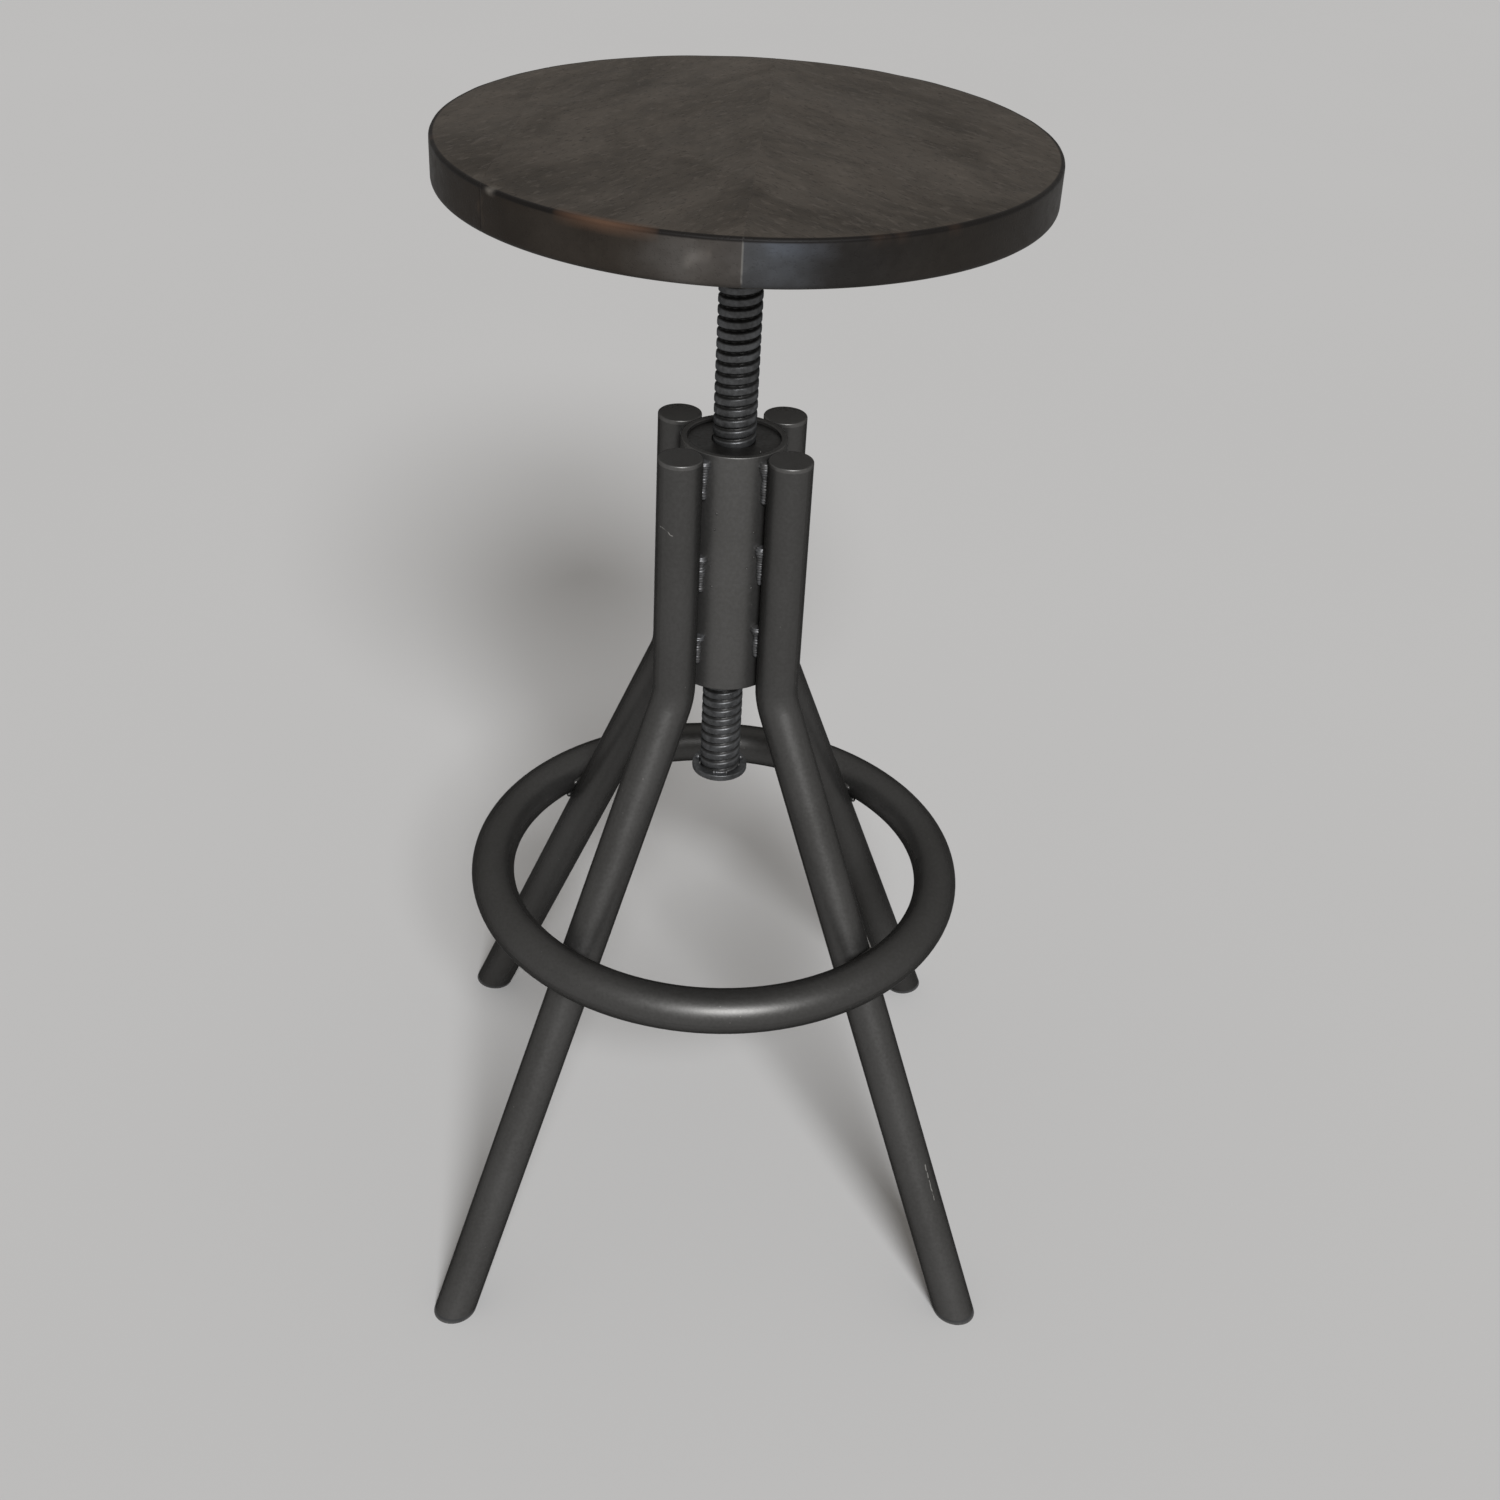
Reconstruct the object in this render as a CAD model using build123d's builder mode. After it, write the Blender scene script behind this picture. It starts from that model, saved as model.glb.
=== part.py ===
"""Four-legged stool whose round wooden seat is raised and lowered by a coarse screw.

Millimetres. The origin is on the floor under the middle of the seat, +Z is up and the front is -Y.
The seat is drawn part way up its travel: one turn of it climbs or falls one thread pitch.
"""
import math
import os

from build123d import *

# Seat boards
seat_diameter = 324.0
seat_thickness = 24.0
seat_height = 708.0  # top of the seat above the floor as drawn
seat_top_edge = 1.5
seat_bottom_edge = 3.0
grain_turn = -5.3  # degrees the boards are turned about the upright axis
left_joint = -119.0  # glue lines, measured across the boards from the seat's middle
right_joint = 7.2

# Plate and screws under the seat
plate_diameter = 130.0
plate_thickness = 5.0
plate_edge = 1.0
screw_circle_diameter = 100.0
screw_count = 4
screw_turn = 45.0
screw_length = 22.0
screw_shank = 5.0
screw_head = 10.0
screw_cone = 82.0  # whole angle of the countersunk heads
screw_tip = 4.0
screw_fit = 0.15
pilot_spare = 1.0

# Screw spindle and its stop
thread_diameter = 25.0
thread_pitch = 6.35
thread_depth = 1.7
groove_width = 3.0  # across the V groove's mouth, along the axis
thread_clearance = 0.35
run_on_turns = 1  # cut off again at each end of a threaded bar
spindle_fillet = 6.0  # leg of the weld under the plate
stop_drop = 75.0  # from the hub's foot down to the stop's underside, as drawn
stop_diameter = 34.0
stop_thickness = 4.0
stop_edge = 0.6
stop_fit = 0.3
tack_count = 3
tack_height = 2.5
tack_width = 2.6
tack_arc = 40.0
tack_turn = -90.0  # degrees: the first tack faces the front

# Hub tube and the threaded bushes in its ends
frame_height = 541.0  # tops of the hub and the legs above the floor
hub_diameter = 60.3
hub_wall = 3.65
hub_length = 150.0
hub_edge = 0.8
nut_recess = 2.0
nut_fit = 0.1
upper_nut_length = 40.0
lower_nut_length = 30.0

# Legs, with their caps and foot plugs
leg_diameter = 25.4
leg_wall = 2.0
leg_bend_radius = 35.0
bend_below_hub = 4.0
foot_reach = 229.0  # from the stool's axis to the middle of each foot
cap_thickness = 2.5
cap_edge = 0.8
foot_thickness = 3.0
plug_depth = 18.0
plug_fit = 0.2

# Foot ring
ring_tube = 26.9
ring_wall = 2.3
ring_height = 239.5

# Welds
joint_gap = 0.2
weld_gap = 0.1
bead_radius = 3.0
bead_lift = 1.2  # of the bead's middle off the two faces that it joins
stitch_length = 25.0
stitch_end = 3.0  # from the hub's top to the first stitch
stitch_pitch = 54.0
stitch_count = 3
ring_bead_radius = 4.0
ring_bead_length = 16.0

legs = {"front_left": -135.0, "front_right": -45.0, "back_left": 135.0, "back_right": 45.0}

# Heights and radii that follow from the sizes above
seat_radius = seat_diameter / 2
seat_underside = seat_height - seat_thickness
plate_underside = seat_underside - plate_thickness
thread_radius = thread_diameter / 2
flank_angle = math.atan2(groove_width / 2, thread_depth)
stop_bore = thread_radius + stop_fit
hub_radius = hub_diameter / 2
hub_bore = hub_radius - hub_wall
hub_foot = frame_height - hub_length
spindle_foot = hub_foot - stop_drop
leg_radius = leg_diameter / 2
leg_bore = leg_radius - leg_wall
leg_circle = hub_radius + leg_radius + joint_gap
bend_height = hub_foot - bend_below_hub
leg_slope = math.atan2(foot_reach - leg_circle, bend_height)
ring_radius = ring_tube / 2
leg_at_ring = leg_circle + (bend_height - ring_height) * math.tan(leg_slope)
ring_to_leg = ring_radius + leg_radius + joint_gap
ring_circle = leg_at_ring + ring_to_leg / math.cos(leg_slope)


def save(part, node):
    """Label a finished piece and write it."""
    part.label = node
    export_step(part, f"parts/{node}.step")


def radial_plane(angle):
    """Upright plane through the stool's axis, with local X outwards and local Y up."""
    turn = math.radians(angle)
    outwards = (math.cos(turn), math.sin(turn), 0)
    sideways = (math.sin(turn), -math.cos(turn), 0)
    return Plane((0, 0, 0), x_dir=outwards, z_dir=sideways)


def threaded_bar(clearance, low, high):
    """Right-hand screw of one start, opened out by a clearance, that runs a little past both heights.

    Each turn is three ruled strips between helices: the broad crest and the two flanks of the V groove.
    A turn always starts at a whole number of pitches above the floor, so bars of any length are in step.
    """
    outer = thread_radius + clearance
    inner = thread_radius - thread_depth + clearance / math.sin(flank_angle)
    flank = (outer - inner) * math.tan(flank_angle)
    first = thread_pitch * (math.floor(low / thread_pitch) - run_on_turns)
    turns = math.ceil((high - first) / thread_pitch) + run_on_turns
    last = first + turns * thread_pitch
    corners = [
        (outer, 0),
        (outer, thread_pitch - 2 * flank),
        (inner, thread_pitch - flank),
        (outer, thread_pitch),
    ]
    helices = [Edge.make_helix(thread_pitch, thread_pitch, radius, (0, 0, rise)) for radius, rise in corners]
    strips = [Face.make_surface_from_curves(below, above) for below, above in zip(helices, helices[1:])]
    axis_line = Edge.make_line((0, 0, 0), (0, 0, thread_pitch))
    ramp = Face.make_surface_from_curves(helices[0], axis_line)
    outline = [(0, 0, 0)] + [(radius, 0, rise) for radius, rise in corners] + [(0, 0, thread_pitch)]
    step = Face(Wire.make_polygon(outline))
    faces = [Pos(0, 0, first + turn * thread_pitch) * strip for turn in range(turns) for strip in strips]
    faces += [Pos(0, 0, end) * face for end in (first, last) for face in (ramp, step)]
    return Solid(Shell(faces))


os.makedirs("parts", exist_ok=True)


# Seat: three boards glued edge to edge and turned to a disc
def seat_plank(node, low=None, high=None):
    """One board of the seat, between two glue lines or out to the rim."""
    across = Plane.YZ.rotated((0, 0, grain_turn))
    with BuildPart() as plank:
        with BuildSketch(Plane.XY.offset(seat_underside)):
            Circle(seat_radius)
        extrude(amount=seat_thickness)
        fillet(plank.edges().group_by(Axis.Z)[-1], seat_top_edge)
        fillet(plank.edges().group_by(Axis.Z)[0], seat_bottom_edge)
        with BuildSketch(Plane.XY.offset(seat_underside)):
            with PolarLocations(screw_circle_diameter / 2, screw_count, screw_turn):
                Circle(screw_shank / 2 + screw_fit)
        extrude(amount=screw_length - plate_thickness + pilot_spare, mode=Mode.SUBTRACT)
        if low is not None:
            split(bisect_by=across.offset(low), keep=Keep.TOP)
        if high is not None:
            split(bisect_by=across.offset(high), keep=Keep.BOTTOM)
    save(plank.part, node)


seat_plank("seat_plank_left", high=left_joint)
seat_plank("seat_plank_middle", low=left_joint, high=right_joint)
seat_plank("seat_plank_right", low=right_joint)

# Plate under the seat, countersunk from below
with BuildPart() as seat_plate:
    with BuildSketch(Plane.XY.offset(plate_underside)):
        Circle(plate_diameter / 2)
    extrude(amount=plate_thickness)
    chamfer(seat_plate.edges().group_by(Axis.Z)[0], plate_edge)
    with Locations(Plane.XY.offset(plate_underside).rotated((180, 0, 0))):
        with PolarLocations(screw_circle_diameter / 2, screw_count, screw_turn):
            CounterSinkHole(
                screw_shank / 2 + screw_fit,
                screw_head / 2 + screw_fit,
                counter_sink_angle=screw_cone,
            )
save(seat_plate.part, "seat_plate")

# Countersunk screws up through the plate into the boards
with BuildPart() as seat_screws:
    with BuildSketch(Plane.XZ) as screw_profile:
        with BuildLine():
            Polyline(
                (0, 0),
                (screw_head / 2, 0),
                (screw_shank / 2, (screw_head - screw_shank) / 2 / math.tan(math.radians(screw_cone / 2))),
                (screw_shank / 2, screw_length - screw_tip),
                (0, screw_length),
                close=True,
            )
        make_face()
    with Locations(Plane.XY.offset(plate_underside)):
        with PolarLocations(screw_circle_diameter / 2, screw_count, screw_turn):
            add(Solid.revolve(screw_profile.sketch.face(), 360, Axis.Z))
save(seat_screws.part, "seat_screws")

# Screw spindle, cut square at both ends
with BuildPart() as spindle:
    add(threaded_bar(0, spindle_foot, plate_underside))
    split(bisect_by=Plane.XY.offset(spindle_foot), keep=Keep.TOP)
    split(bisect_by=Plane.XY.offset(plate_underside), keep=Keep.BOTTOM)
save(spindle.part, "spindle")

# Fillet weld round the spindle under the plate
with BuildPart() as spindle_weld:
    with BuildSketch(Plane.XZ):
        with BuildLine():
            weld_root = thread_radius + weld_gap
            Polyline(
                (weld_root, plate_underside - spindle_fillet),
                (weld_root, plate_underside),
                (weld_root + spindle_fillet, plate_underside),
                close=True,
            )
        make_face()
    revolve(axis=Axis.Z)
save(spindle_weld.part, "spindle_weld")

# Stop washer on the spindle's foot, and the tacks on top of it
stop_top = spindle_foot + stop_thickness
with BuildPart() as stop_washer:
    with BuildSketch(Plane.XY.offset(spindle_foot)):
        Circle(stop_diameter / 2)
        Circle(stop_bore, mode=Mode.SUBTRACT)
    extrude(amount=stop_thickness)
    rims = stop_washer.edges().filter_by(GeomType.CIRCLE).sort_by(SortBy.RADIUS)[-2:]
    chamfer(rims, stop_edge)
save(stop_washer.part, "stop_washer")

with BuildPart() as stop_welds:
    for tack in range(tack_count):
        with BuildSketch(radial_plane(tack_turn + 360 / tack_count * tack - tack_arc / 2)):
            with BuildLine():
                Polyline(
                    (stop_bore, stop_top),
                    (stop_bore + tack_width, stop_top),
                    (stop_bore, stop_top + tack_height),
                    close=True,
                )
            make_face()
        revolve(axis=Axis.Z, revolution_arc=tack_arc)
save(stop_welds.part, "stop_welds")

# Hub tube
with BuildPart() as hub_tube:
    with BuildSketch(Plane.XY.offset(hub_foot)):
        Circle(hub_radius)
        Circle(hub_bore, mode=Mode.SUBTRACT)
    extrude(amount=hub_length)
    chamfer(hub_tube.edges().filter_by(GeomType.CIRCLE), hub_edge)
save(hub_tube.part, "hub_tube")

# Threaded bushes: the spindle's thread, opened out by the clearance, cut through a round blank
def threaded_bush(node, low, length):
    """Round bush with the spindle's thread through it."""
    with BuildPart() as bush:
        with BuildSketch(Plane.XY.offset(low)):
            Circle(hub_bore - nut_fit)
        extrude(amount=length)
        add(threaded_bar(thread_clearance, low, low + length), mode=Mode.SUBTRACT)
    save(bush.part, node)


threaded_bush("upper_nut", frame_height - nut_recess - upper_nut_length, upper_nut_length)
threaded_bush("lower_nut", hub_foot + nut_recess, lower_nut_length)


# Legs: upright beside the hub, bent once under it and cut level with the floor
def leg_path(plane, top):
    """Centre line of a leg, run on past the floor."""
    past_floor = leg_circle + (bend_height + leg_diameter) * math.tan(leg_slope)
    with BuildLine(plane) as path:
        FilletPolyline(
            (leg_circle, top),
            (leg_circle, bend_height),
            (past_floor, -leg_diameter),
            radius=leg_bend_radius,
        )
    return path.line


def leg_blank(angle, top, radius):
    """Solid round bar along a leg's centre line."""
    plane = radial_plane(angle)
    with BuildPart() as bar:
        with BuildSketch(Plane(plane.from_local_coords((leg_circle, top)), x_dir=plane.x_dir)):
            Circle(radius)
        sweep(path=leg_path(plane, top))
    return bar.part


def leg(node, angle):
    """Bent tube of one leg."""
    top = frame_height - cap_thickness
    with BuildPart() as tube:
        add(leg_blank(angle, top, leg_radius))
        add(leg_blank(angle, top, leg_bore), mode=Mode.SUBTRACT)
        split(bisect_by=Plane.XY.offset(foot_thickness), keep=Keep.TOP)
    save(tube.part, node)


def leg_cap(node, angle):
    """Flat disc that closes a leg's top."""
    plane = radial_plane(angle)
    with BuildPart() as cap:
        with BuildSketch(Plane(plane.from_local_coords((leg_circle, frame_height - cap_thickness)))):
            Circle(leg_radius)
        extrude(amount=cap_thickness)
        chamfer(cap.edges().group_by(Axis.Z)[-1], cap_edge)
    save(cap.part, node)


def foot_plug(node, angle):
    """Plug in a leg's lower end, with a flange as wide as the tube and level with the floor."""
    plane = radial_plane(angle)
    down = plane.from_local_coords((math.sin(leg_slope), -math.cos(leg_slope))) - plane.origin
    foot = Plane(plane.from_local_coords((foot_reach, 0)), x_dir=plane.z_dir, z_dir=-down)
    with BuildPart() as plug:
        with BuildSketch(foot):
            Circle(leg_radius)
        extrude(amount=leg_diameter, both=True)
        split(bisect_by=Plane.XY.offset(foot_thickness), keep=Keep.BOTTOM)
        with BuildSketch(foot):
            Circle(leg_bore - plug_fit)
        extrude(amount=plug_depth)
        split(bisect_by=Plane.XY, keep=Keep.TOP)
    save(plug.part, node)


for place, angle in legs.items():
    leg(f"leg_{place}", angle)
    leg_cap(f"leg_cap_{place}", angle)
    foot_plug(f"foot_plug_{place}", angle)


# Foot ring round the outside of the legs
def ring_blank(radius):
    """Solid round bar bent to the foot ring's circle."""
    with BuildPart() as bar:
        with BuildSketch(Plane.XZ):
            with Locations((ring_circle, ring_height)):
                Circle(radius)
        revolve(axis=Axis.Z)
    return bar.part


with BuildPart() as foot_ring:
    add(ring_blank(ring_radius))
    add(ring_blank(ring_radius - ring_wall), mode=Mode.SUBTRACT)
save(foot_ring.part, "foot_ring")

# Stitch welds in the two corners between each leg and the hub
from_hub = hub_radius + bead_lift
from_leg = leg_radius + bead_lift
bead_out = (leg_circle**2 + from_hub**2 - from_leg**2) / (2 * leg_circle)
bead_side = math.sqrt(from_hub**2 - bead_out**2)
with BuildPart() as hub_welds:
    for angle in legs.values():
        turned = Plane.XY.rotated((0, 0, angle))
        for stitch in range(stitch_count):
            stitch_foot = frame_height - stitch_end - stitch_length - stitch * stitch_pitch
            with BuildSketch(turned.offset(stitch_foot)):
                with Locations((bead_out, bead_side), (bead_out, -bead_side)):
                    Circle(bead_radius)
                Circle(hub_radius + weld_gap, mode=Mode.SUBTRACT)
                with Locations((leg_circle, 0)):
                    Circle(leg_radius + weld_gap, mode=Mode.SUBTRACT)
            extrude(amount=stitch_length)
save(hub_welds.part, "hub_welds")

# Beads above and below each place where a leg touches the ring
touch_out = ring_circle - (ring_to_leg - from_leg) * math.cos(leg_slope)
touch_up = ring_height - (ring_to_leg - from_leg) * math.sin(leg_slope)
bead_along = math.sqrt((ring_radius + bead_lift) ** 2 - (ring_to_leg - from_leg) ** 2)
with BuildPart() as ring_welds:
    for angle in legs.values():
        plane = radial_plane(angle)
        for side in (-1, 1):
            out = touch_out - side * bead_along * math.sin(leg_slope)
            up = touch_up + side * bead_along * math.cos(leg_slope)
            with BuildSketch(plane):
                with Locations((out, up)):
                    Circle(ring_bead_radius)
            extrude(amount=ring_bead_length / 2, both=True)
        add(leg_blank(angle, frame_height, leg_radius + weld_gap), mode=Mode.SUBTRACT)
    add(ring_blank(ring_radius + weld_gap), mode=Mode.SUBTRACT)
save(ring_welds.part, "ring_welds")
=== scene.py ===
"""Dresses the adjustable screw stool and stands it on a plain pale floor.

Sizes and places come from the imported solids. The boards, the lead screw, the turned parts, the welds
and the screws are made here as finer meshes. The tubes keep their solids and get their finish.
"""

import math

import bmesh
import bpy
from bpy.props import FloatProperty, FloatVectorProperty, IntProperty, PointerProperty
from mathutils import Matrix, Vector, noise


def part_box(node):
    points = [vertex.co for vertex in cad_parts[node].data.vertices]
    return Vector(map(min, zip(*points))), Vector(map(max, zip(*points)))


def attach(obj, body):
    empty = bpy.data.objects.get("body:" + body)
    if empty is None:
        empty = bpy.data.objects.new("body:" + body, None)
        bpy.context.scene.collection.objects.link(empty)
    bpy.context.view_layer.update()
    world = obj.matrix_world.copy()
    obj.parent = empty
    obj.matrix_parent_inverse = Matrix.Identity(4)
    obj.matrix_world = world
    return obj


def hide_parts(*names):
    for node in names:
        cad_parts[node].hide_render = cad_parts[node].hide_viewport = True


bl_info = {
    "name": "Screw Stool",
    "version": (1, 0, 0),
    "blender": (4, 5, 0),
    "location": "3D View > Sidebar > Stool",
    "description": "Dresses an adjustable screw stool and sets its stage",
    "category": "Object",
}

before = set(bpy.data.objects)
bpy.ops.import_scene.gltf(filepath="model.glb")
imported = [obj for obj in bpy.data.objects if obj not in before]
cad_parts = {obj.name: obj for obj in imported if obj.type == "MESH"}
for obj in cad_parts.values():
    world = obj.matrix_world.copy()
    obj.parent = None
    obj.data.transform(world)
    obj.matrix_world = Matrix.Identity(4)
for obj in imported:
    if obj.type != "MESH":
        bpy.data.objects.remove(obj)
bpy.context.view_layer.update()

PLACES = ("front_left", "front_right", "back_left", "back_right")
LEG_ANGLES = (-135.0, -45.0, 135.0, 45.0)
BOARDS = ("seat_plank_left", "seat_plank_middle", "seat_plank_right")

seat_low, seat_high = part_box("seat_plank_right")
screw_low, screw_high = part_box("spindle")
plate_low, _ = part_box("seat_plate")
stop_low, stop_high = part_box("stop_washer")
hub_low, hub_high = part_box("hub_tube")
cap_low, cap_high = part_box("leg_cap_front_right")
ring_low, ring_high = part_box("foot_ring")
cap_middle = (cap_low + cap_high) / 2
leg_radius = (cap_high.x - cap_low.x) / 2
leg_circle = math.hypot(cap_middle.x, cap_middle.y)


# Marks of use

# Figure in the boards: from x, y to x, y, width, and how much lighter or darker
SEAT_MARKS = (
    (-0.050, 0.062, 0.000, 0.137, 0.020, 0.30),
    (-0.052, 0.088, -0.024, 0.098, 0.016, -0.24),
    (-0.034, -0.053, -0.001, -0.094, 0.016, -0.26),
    (0.096, 0.050, 0.108, -0.020, 0.024, -0.26),
    (-0.140, -0.075, -0.108, -0.066, 0.018, -0.18),
    (-0.152, -0.030, -0.070, -0.140, 0.030, -0.26),
    (0.000, -0.150, 0.110, -0.110, 0.045, -0.20),
    (0.030, 0.118, 0.126, 0.062, 0.016, -0.18),
)
# Paler places on the rim by the front glue line, partly painted sheen and partly paler marks in the wood:
# start, end, width, and how much the colour is lifted
RIM_SHEEN_AND_MARKS = (
    # Painted cool sheen right of the glue line
    ((0.012, -0.1616, 0.7000), (0.036, -0.1580, 0.6990), 0.052, (0.92, 0.99, 1.10)),
    # Painted highlight line just under the arris
    ((0.004, -0.1620, 0.7048), (0.034, -0.1584, 0.7048), 0.009, (1.40, 1.46, 1.56)),
    # Paler patch left of the glue line, partly paler wood and partly painted sheen
    ((-0.024, -0.1602, 0.6980), (0.002, -0.1620, 0.6980), 0.040, (3.4, 3.95, 4.65)),
    ((-0.090, -0.1347, 0.6960), (-0.050, -0.1541, 0.6960), 0.036, (1.55, 1.68, 1.82)),
    ((-0.032, -0.1588, 0.6960), (-0.022, -0.1605, 0.7000), 0.006, (1.5, 1.5, 1.5)),
    ((-0.020, -0.1608, 0.6990), (-0.012, -0.1616, 0.6930), 0.005, (1.5, 1.5, 1.5)),
    ((-0.131, -0.0953, 0.7000), (-0.131, -0.0953, 0.6880), 0.005, (1.9, 1.8, 1.7)),
)
# Scratches in the lacquer: width, and the points along each
SCRATCHES = (
    (
        0.00042,
        (-0.0408, -0.0378, 0.5024),
        (-0.0385, -0.0402, 0.5019),
        (-0.0366, -0.0415, 0.5010),
        (-0.0352, -0.0421, 0.4992),
        (-0.0338, -0.0426, 0.4986),
    ),
    (0.0005, (0.1357, -0.1362, 0.1058), (0.1388, -0.1397, 0.0960), (0.1428, -0.1445, 0.0830)),
    (0.0004, (0.1392, -0.1393, 0.0940), (0.1432, -0.1438, 0.0820)),
)
NICK = Vector((-0.1245, -0.1047))

# Bands in metres: in from the seat's rim, down from its top, off a glue line, and two heights
RIM_BAND = (0.0016, 0.0005)
ARRIS_BAND = (0.0028, 0.0018)
ARRIS_DROP = (0.0026, 0.0015)
GLUE_WIDTH = (0.0002, 0.00065)
# Heights over which the screw's crests are painted darker towards the seat: painted shade
SCREW_SHADE_BAND = (0.585, 0.634)
DUSTY_FOOT = (0.0, 0.0022)

# Colours of small marks
PALE_FLECK = (0.101, 0.086, 0.074)
DARK_PORE = (0.014, 0.011, 0.009)
DARK_ARRIS = (0.006, 0.005, 0.0045)
DARK_GLUE = (0.012, 0.010, 0.009)
PALE_GLUE = (0.17, 0.165, 0.155)
NICKED_WOOD = (0.165, 0.15, 0.132)
WARM_RIM = (1.0, 0.94, 0.88)
COOL_RIM = (0.98, 1.04, 1.11)
BARE_METAL = (0.36, 0.35, 0.335)
FLOOR_DUST = (0.16, 0.155, 0.145)


# Settings


def length(name, text, default):
    """Setting for a length in metres."""
    return FloatProperty(name=name, description=text, default=default, unit="LENGTH", precision=5)


def tilt(name, text, degrees):
    """Setting for an angle."""
    return FloatProperty(name=name, description=text, default=math.radians(degrees), subtype="ANGLE")


def amount(name, text, default, least=0.0):
    """Setting for a plain number."""
    return FloatProperty(name=name, description=text, default=default, min=least)


def tint(name, text, default):
    """Setting for a colour."""
    return FloatVectorProperty(name=name, description=text, default=default, subtype="COLOR")


def spot(name, text, default):
    """Setting for a place or a direction."""
    return FloatVectorProperty(name=name, description=text, default=default, subtype="XYZ")


class StoolSeat(bpy.types.PropertyGroup):
    """Boards of the seat and their stain."""

    radius: length("Radius", "From the middle to the rim", seat_high.x)
    top: length("Top", "Height of the sitting face", seat_high.z)
    foot: length("Underside", "Height of the underside", seat_low.z)
    top_edge: length("Top Edge", "Easing of the top edge", 0.0015)
    foot_edge: length("Bottom Edge", "Easing of the bottom edge", 0.003)
    grain_turn: tilt("Grain Turn", "Turn of the boards about the upright axis", -5.3)
    left_joint: length("Left Joint", "Glue line across the boards", -0.119)
    right_joint: length("Right Joint", "Glue line across the boards", 0.0072)
    left_grain: tilt("Left Grain", "Lean of the left boards' grain", 35.0)
    right_grain: tilt("Right Grain", "Lean of the right board's grain", -38.0)
    joint_dip: length("Joint Dip", "Depth of a glue line", 0.00012)
    edge_wear: length("Edge Wear", "Unevenness of the worn top edge", 0.00035)
    dark_stain: tint("Dark Stain", "Stain in the open grain", (0.0283, 0.0229, 0.0176))
    light_stain: tint("Light Stain", "Stain on the dense grain", (0.0713, 0.0606, 0.0505))
    rubbed: tint("Rubbed Edge", "Wood where the stain is rubbed off", (0.108, 0.060, 0.037))
    rim_shade: tint("Rim Shade", "Darkening of the stain on the rim", (0.325, 0.31, 0.30))


class StoolScrew(bpy.types.PropertyGroup):
    """Lead screw, its stop and the plate's screws."""

    pitch: length("Pitch", "Rise of one turn", 0.00635)
    depth: length("Groove Depth", "Of the thread's groove", 0.0017)
    groove: length("Groove Width", "Across the groove's mouth", 0.003)
    around: IntProperty(name="Around", description="Points round the screw", default=56, min=16)
    rings: IntProperty(name="Rings a Turn", description="Rings of points to each pitch", default=14, min=8)
    weld: length("Weld", "Radius of the bead under the plate", 0.0036)
    stop_edge: length("Stop Edge", "Easing of the stop's rims", 0.0006)
    screw_circle: length("Screw Circle", "Radius of the plate's screws", 0.05)
    screw_head: length("Screw Head", "Radius of a screw's head", 0.005)
    screw_length: length("Screw Length", "Of a plate screw", 0.022)
    steel: tint("Steel", "Rubbed crests of the thread", (0.158, 0.162, 0.168))
    grease: tint("Grease", "Old grease in the groove", (0.046, 0.0455, 0.045))


class StoolFrame(bpy.types.PropertyGroup):
    """Welded frame and its lacquer."""

    hub_wall: length("Hub Wall", "Wall of the hub tube", 0.00365)
    hub_edge: length("Hub Edge", "Easing of the hub's ends", 0.0008)
    cap_edge: length("Cap Edge", "Easing of the leg caps", 0.0012)
    bead: length("Bead", "Radius of a hub stitch", 0.0032)
    ring_bead: length("Ring Bead", "Radius of a ring weld", 0.0019)
    bead_lift: length("Bead Lift", "Of a bead's middle off the tubes", 0.0012)
    stitch_length: length("Stitch Length", "Of one hub weld", 0.025)
    stitch_pitch: length("Stitch Pitch", "From one stitch to the next", 0.054)
    stitch_end: length("Stitch End", "From the hub's top to a stitch", 0.003)
    ring_stitch: length("Ring Stitch", "Length of one ring weld", 0.013)
    ripple: length("Ripple", "Length of one weld ripple", 0.0017)
    lacquer: tint("Lacquer", "Gunmetal lacquer", (0.094, 0.0925, 0.0904))
    lacquer_shade: tint("Lacquer Shade", "Thicker places in the lacquer", (0.0785, 0.077, 0.0746))
    weld_metal: tint("Weld Metal", "Lacquered weld", (0.148, 0.151, 0.158))
    plastic: tint("Plastic", "Foot plugs", (0.020, 0.0205, 0.0215))


class StoolStage(bpy.types.PropertyGroup):
    """Floor, light and camera."""

    floor: tint("Floor", "Colour of the floor", (0.57, 0.57, 0.57))
    half: length("Floor Reach", "From the middle of the floor to its edge", 60.0)
    key: amount("Key", "Strength of the main lamp", 3.3)
    key_tint: tint("Key Tint", "Colour of the main lamp", (0.985, 0.99, 1.0))
    key_spread: tilt("Key Spread", "Width of the main lamp as the stool sees it", 18.0)
    key_from: spot("Key From", "Direction of the main lamp", (0.14, -1.0, 0.78))
    fill: amount("Fill", "Strength of the light all round", 0.28)
    fill_tint: tint("Fill Tint", "Colour of the light all round", (1.0, 0.95, 0.89))
    surround: tint("Surround", "Pale surround behind the floor", (0.38, 0.374, 0.363))
    lens: amount("Lens", "Focal length in millimetres", 44.93, 1.0)
    eye: spot("Eye", "Place of the camera", (-0.04604, -0.97140, 0.97819))
    yaw: tilt("Yaw", "Turn of the view from +Y", 3.816)
    pitch: tilt("Pitch", "Tilt of the view", -33.711)
    roll: tilt("Roll", "Roll of the view", 3.243)


# Node helpers

SOCKETS = {float: "NodeSocketFloat", int: "NodeSocketInt", tuple: "NodeSocketVector"}
ANYWHERE = (0.0, 0.0, 0.0)


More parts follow.
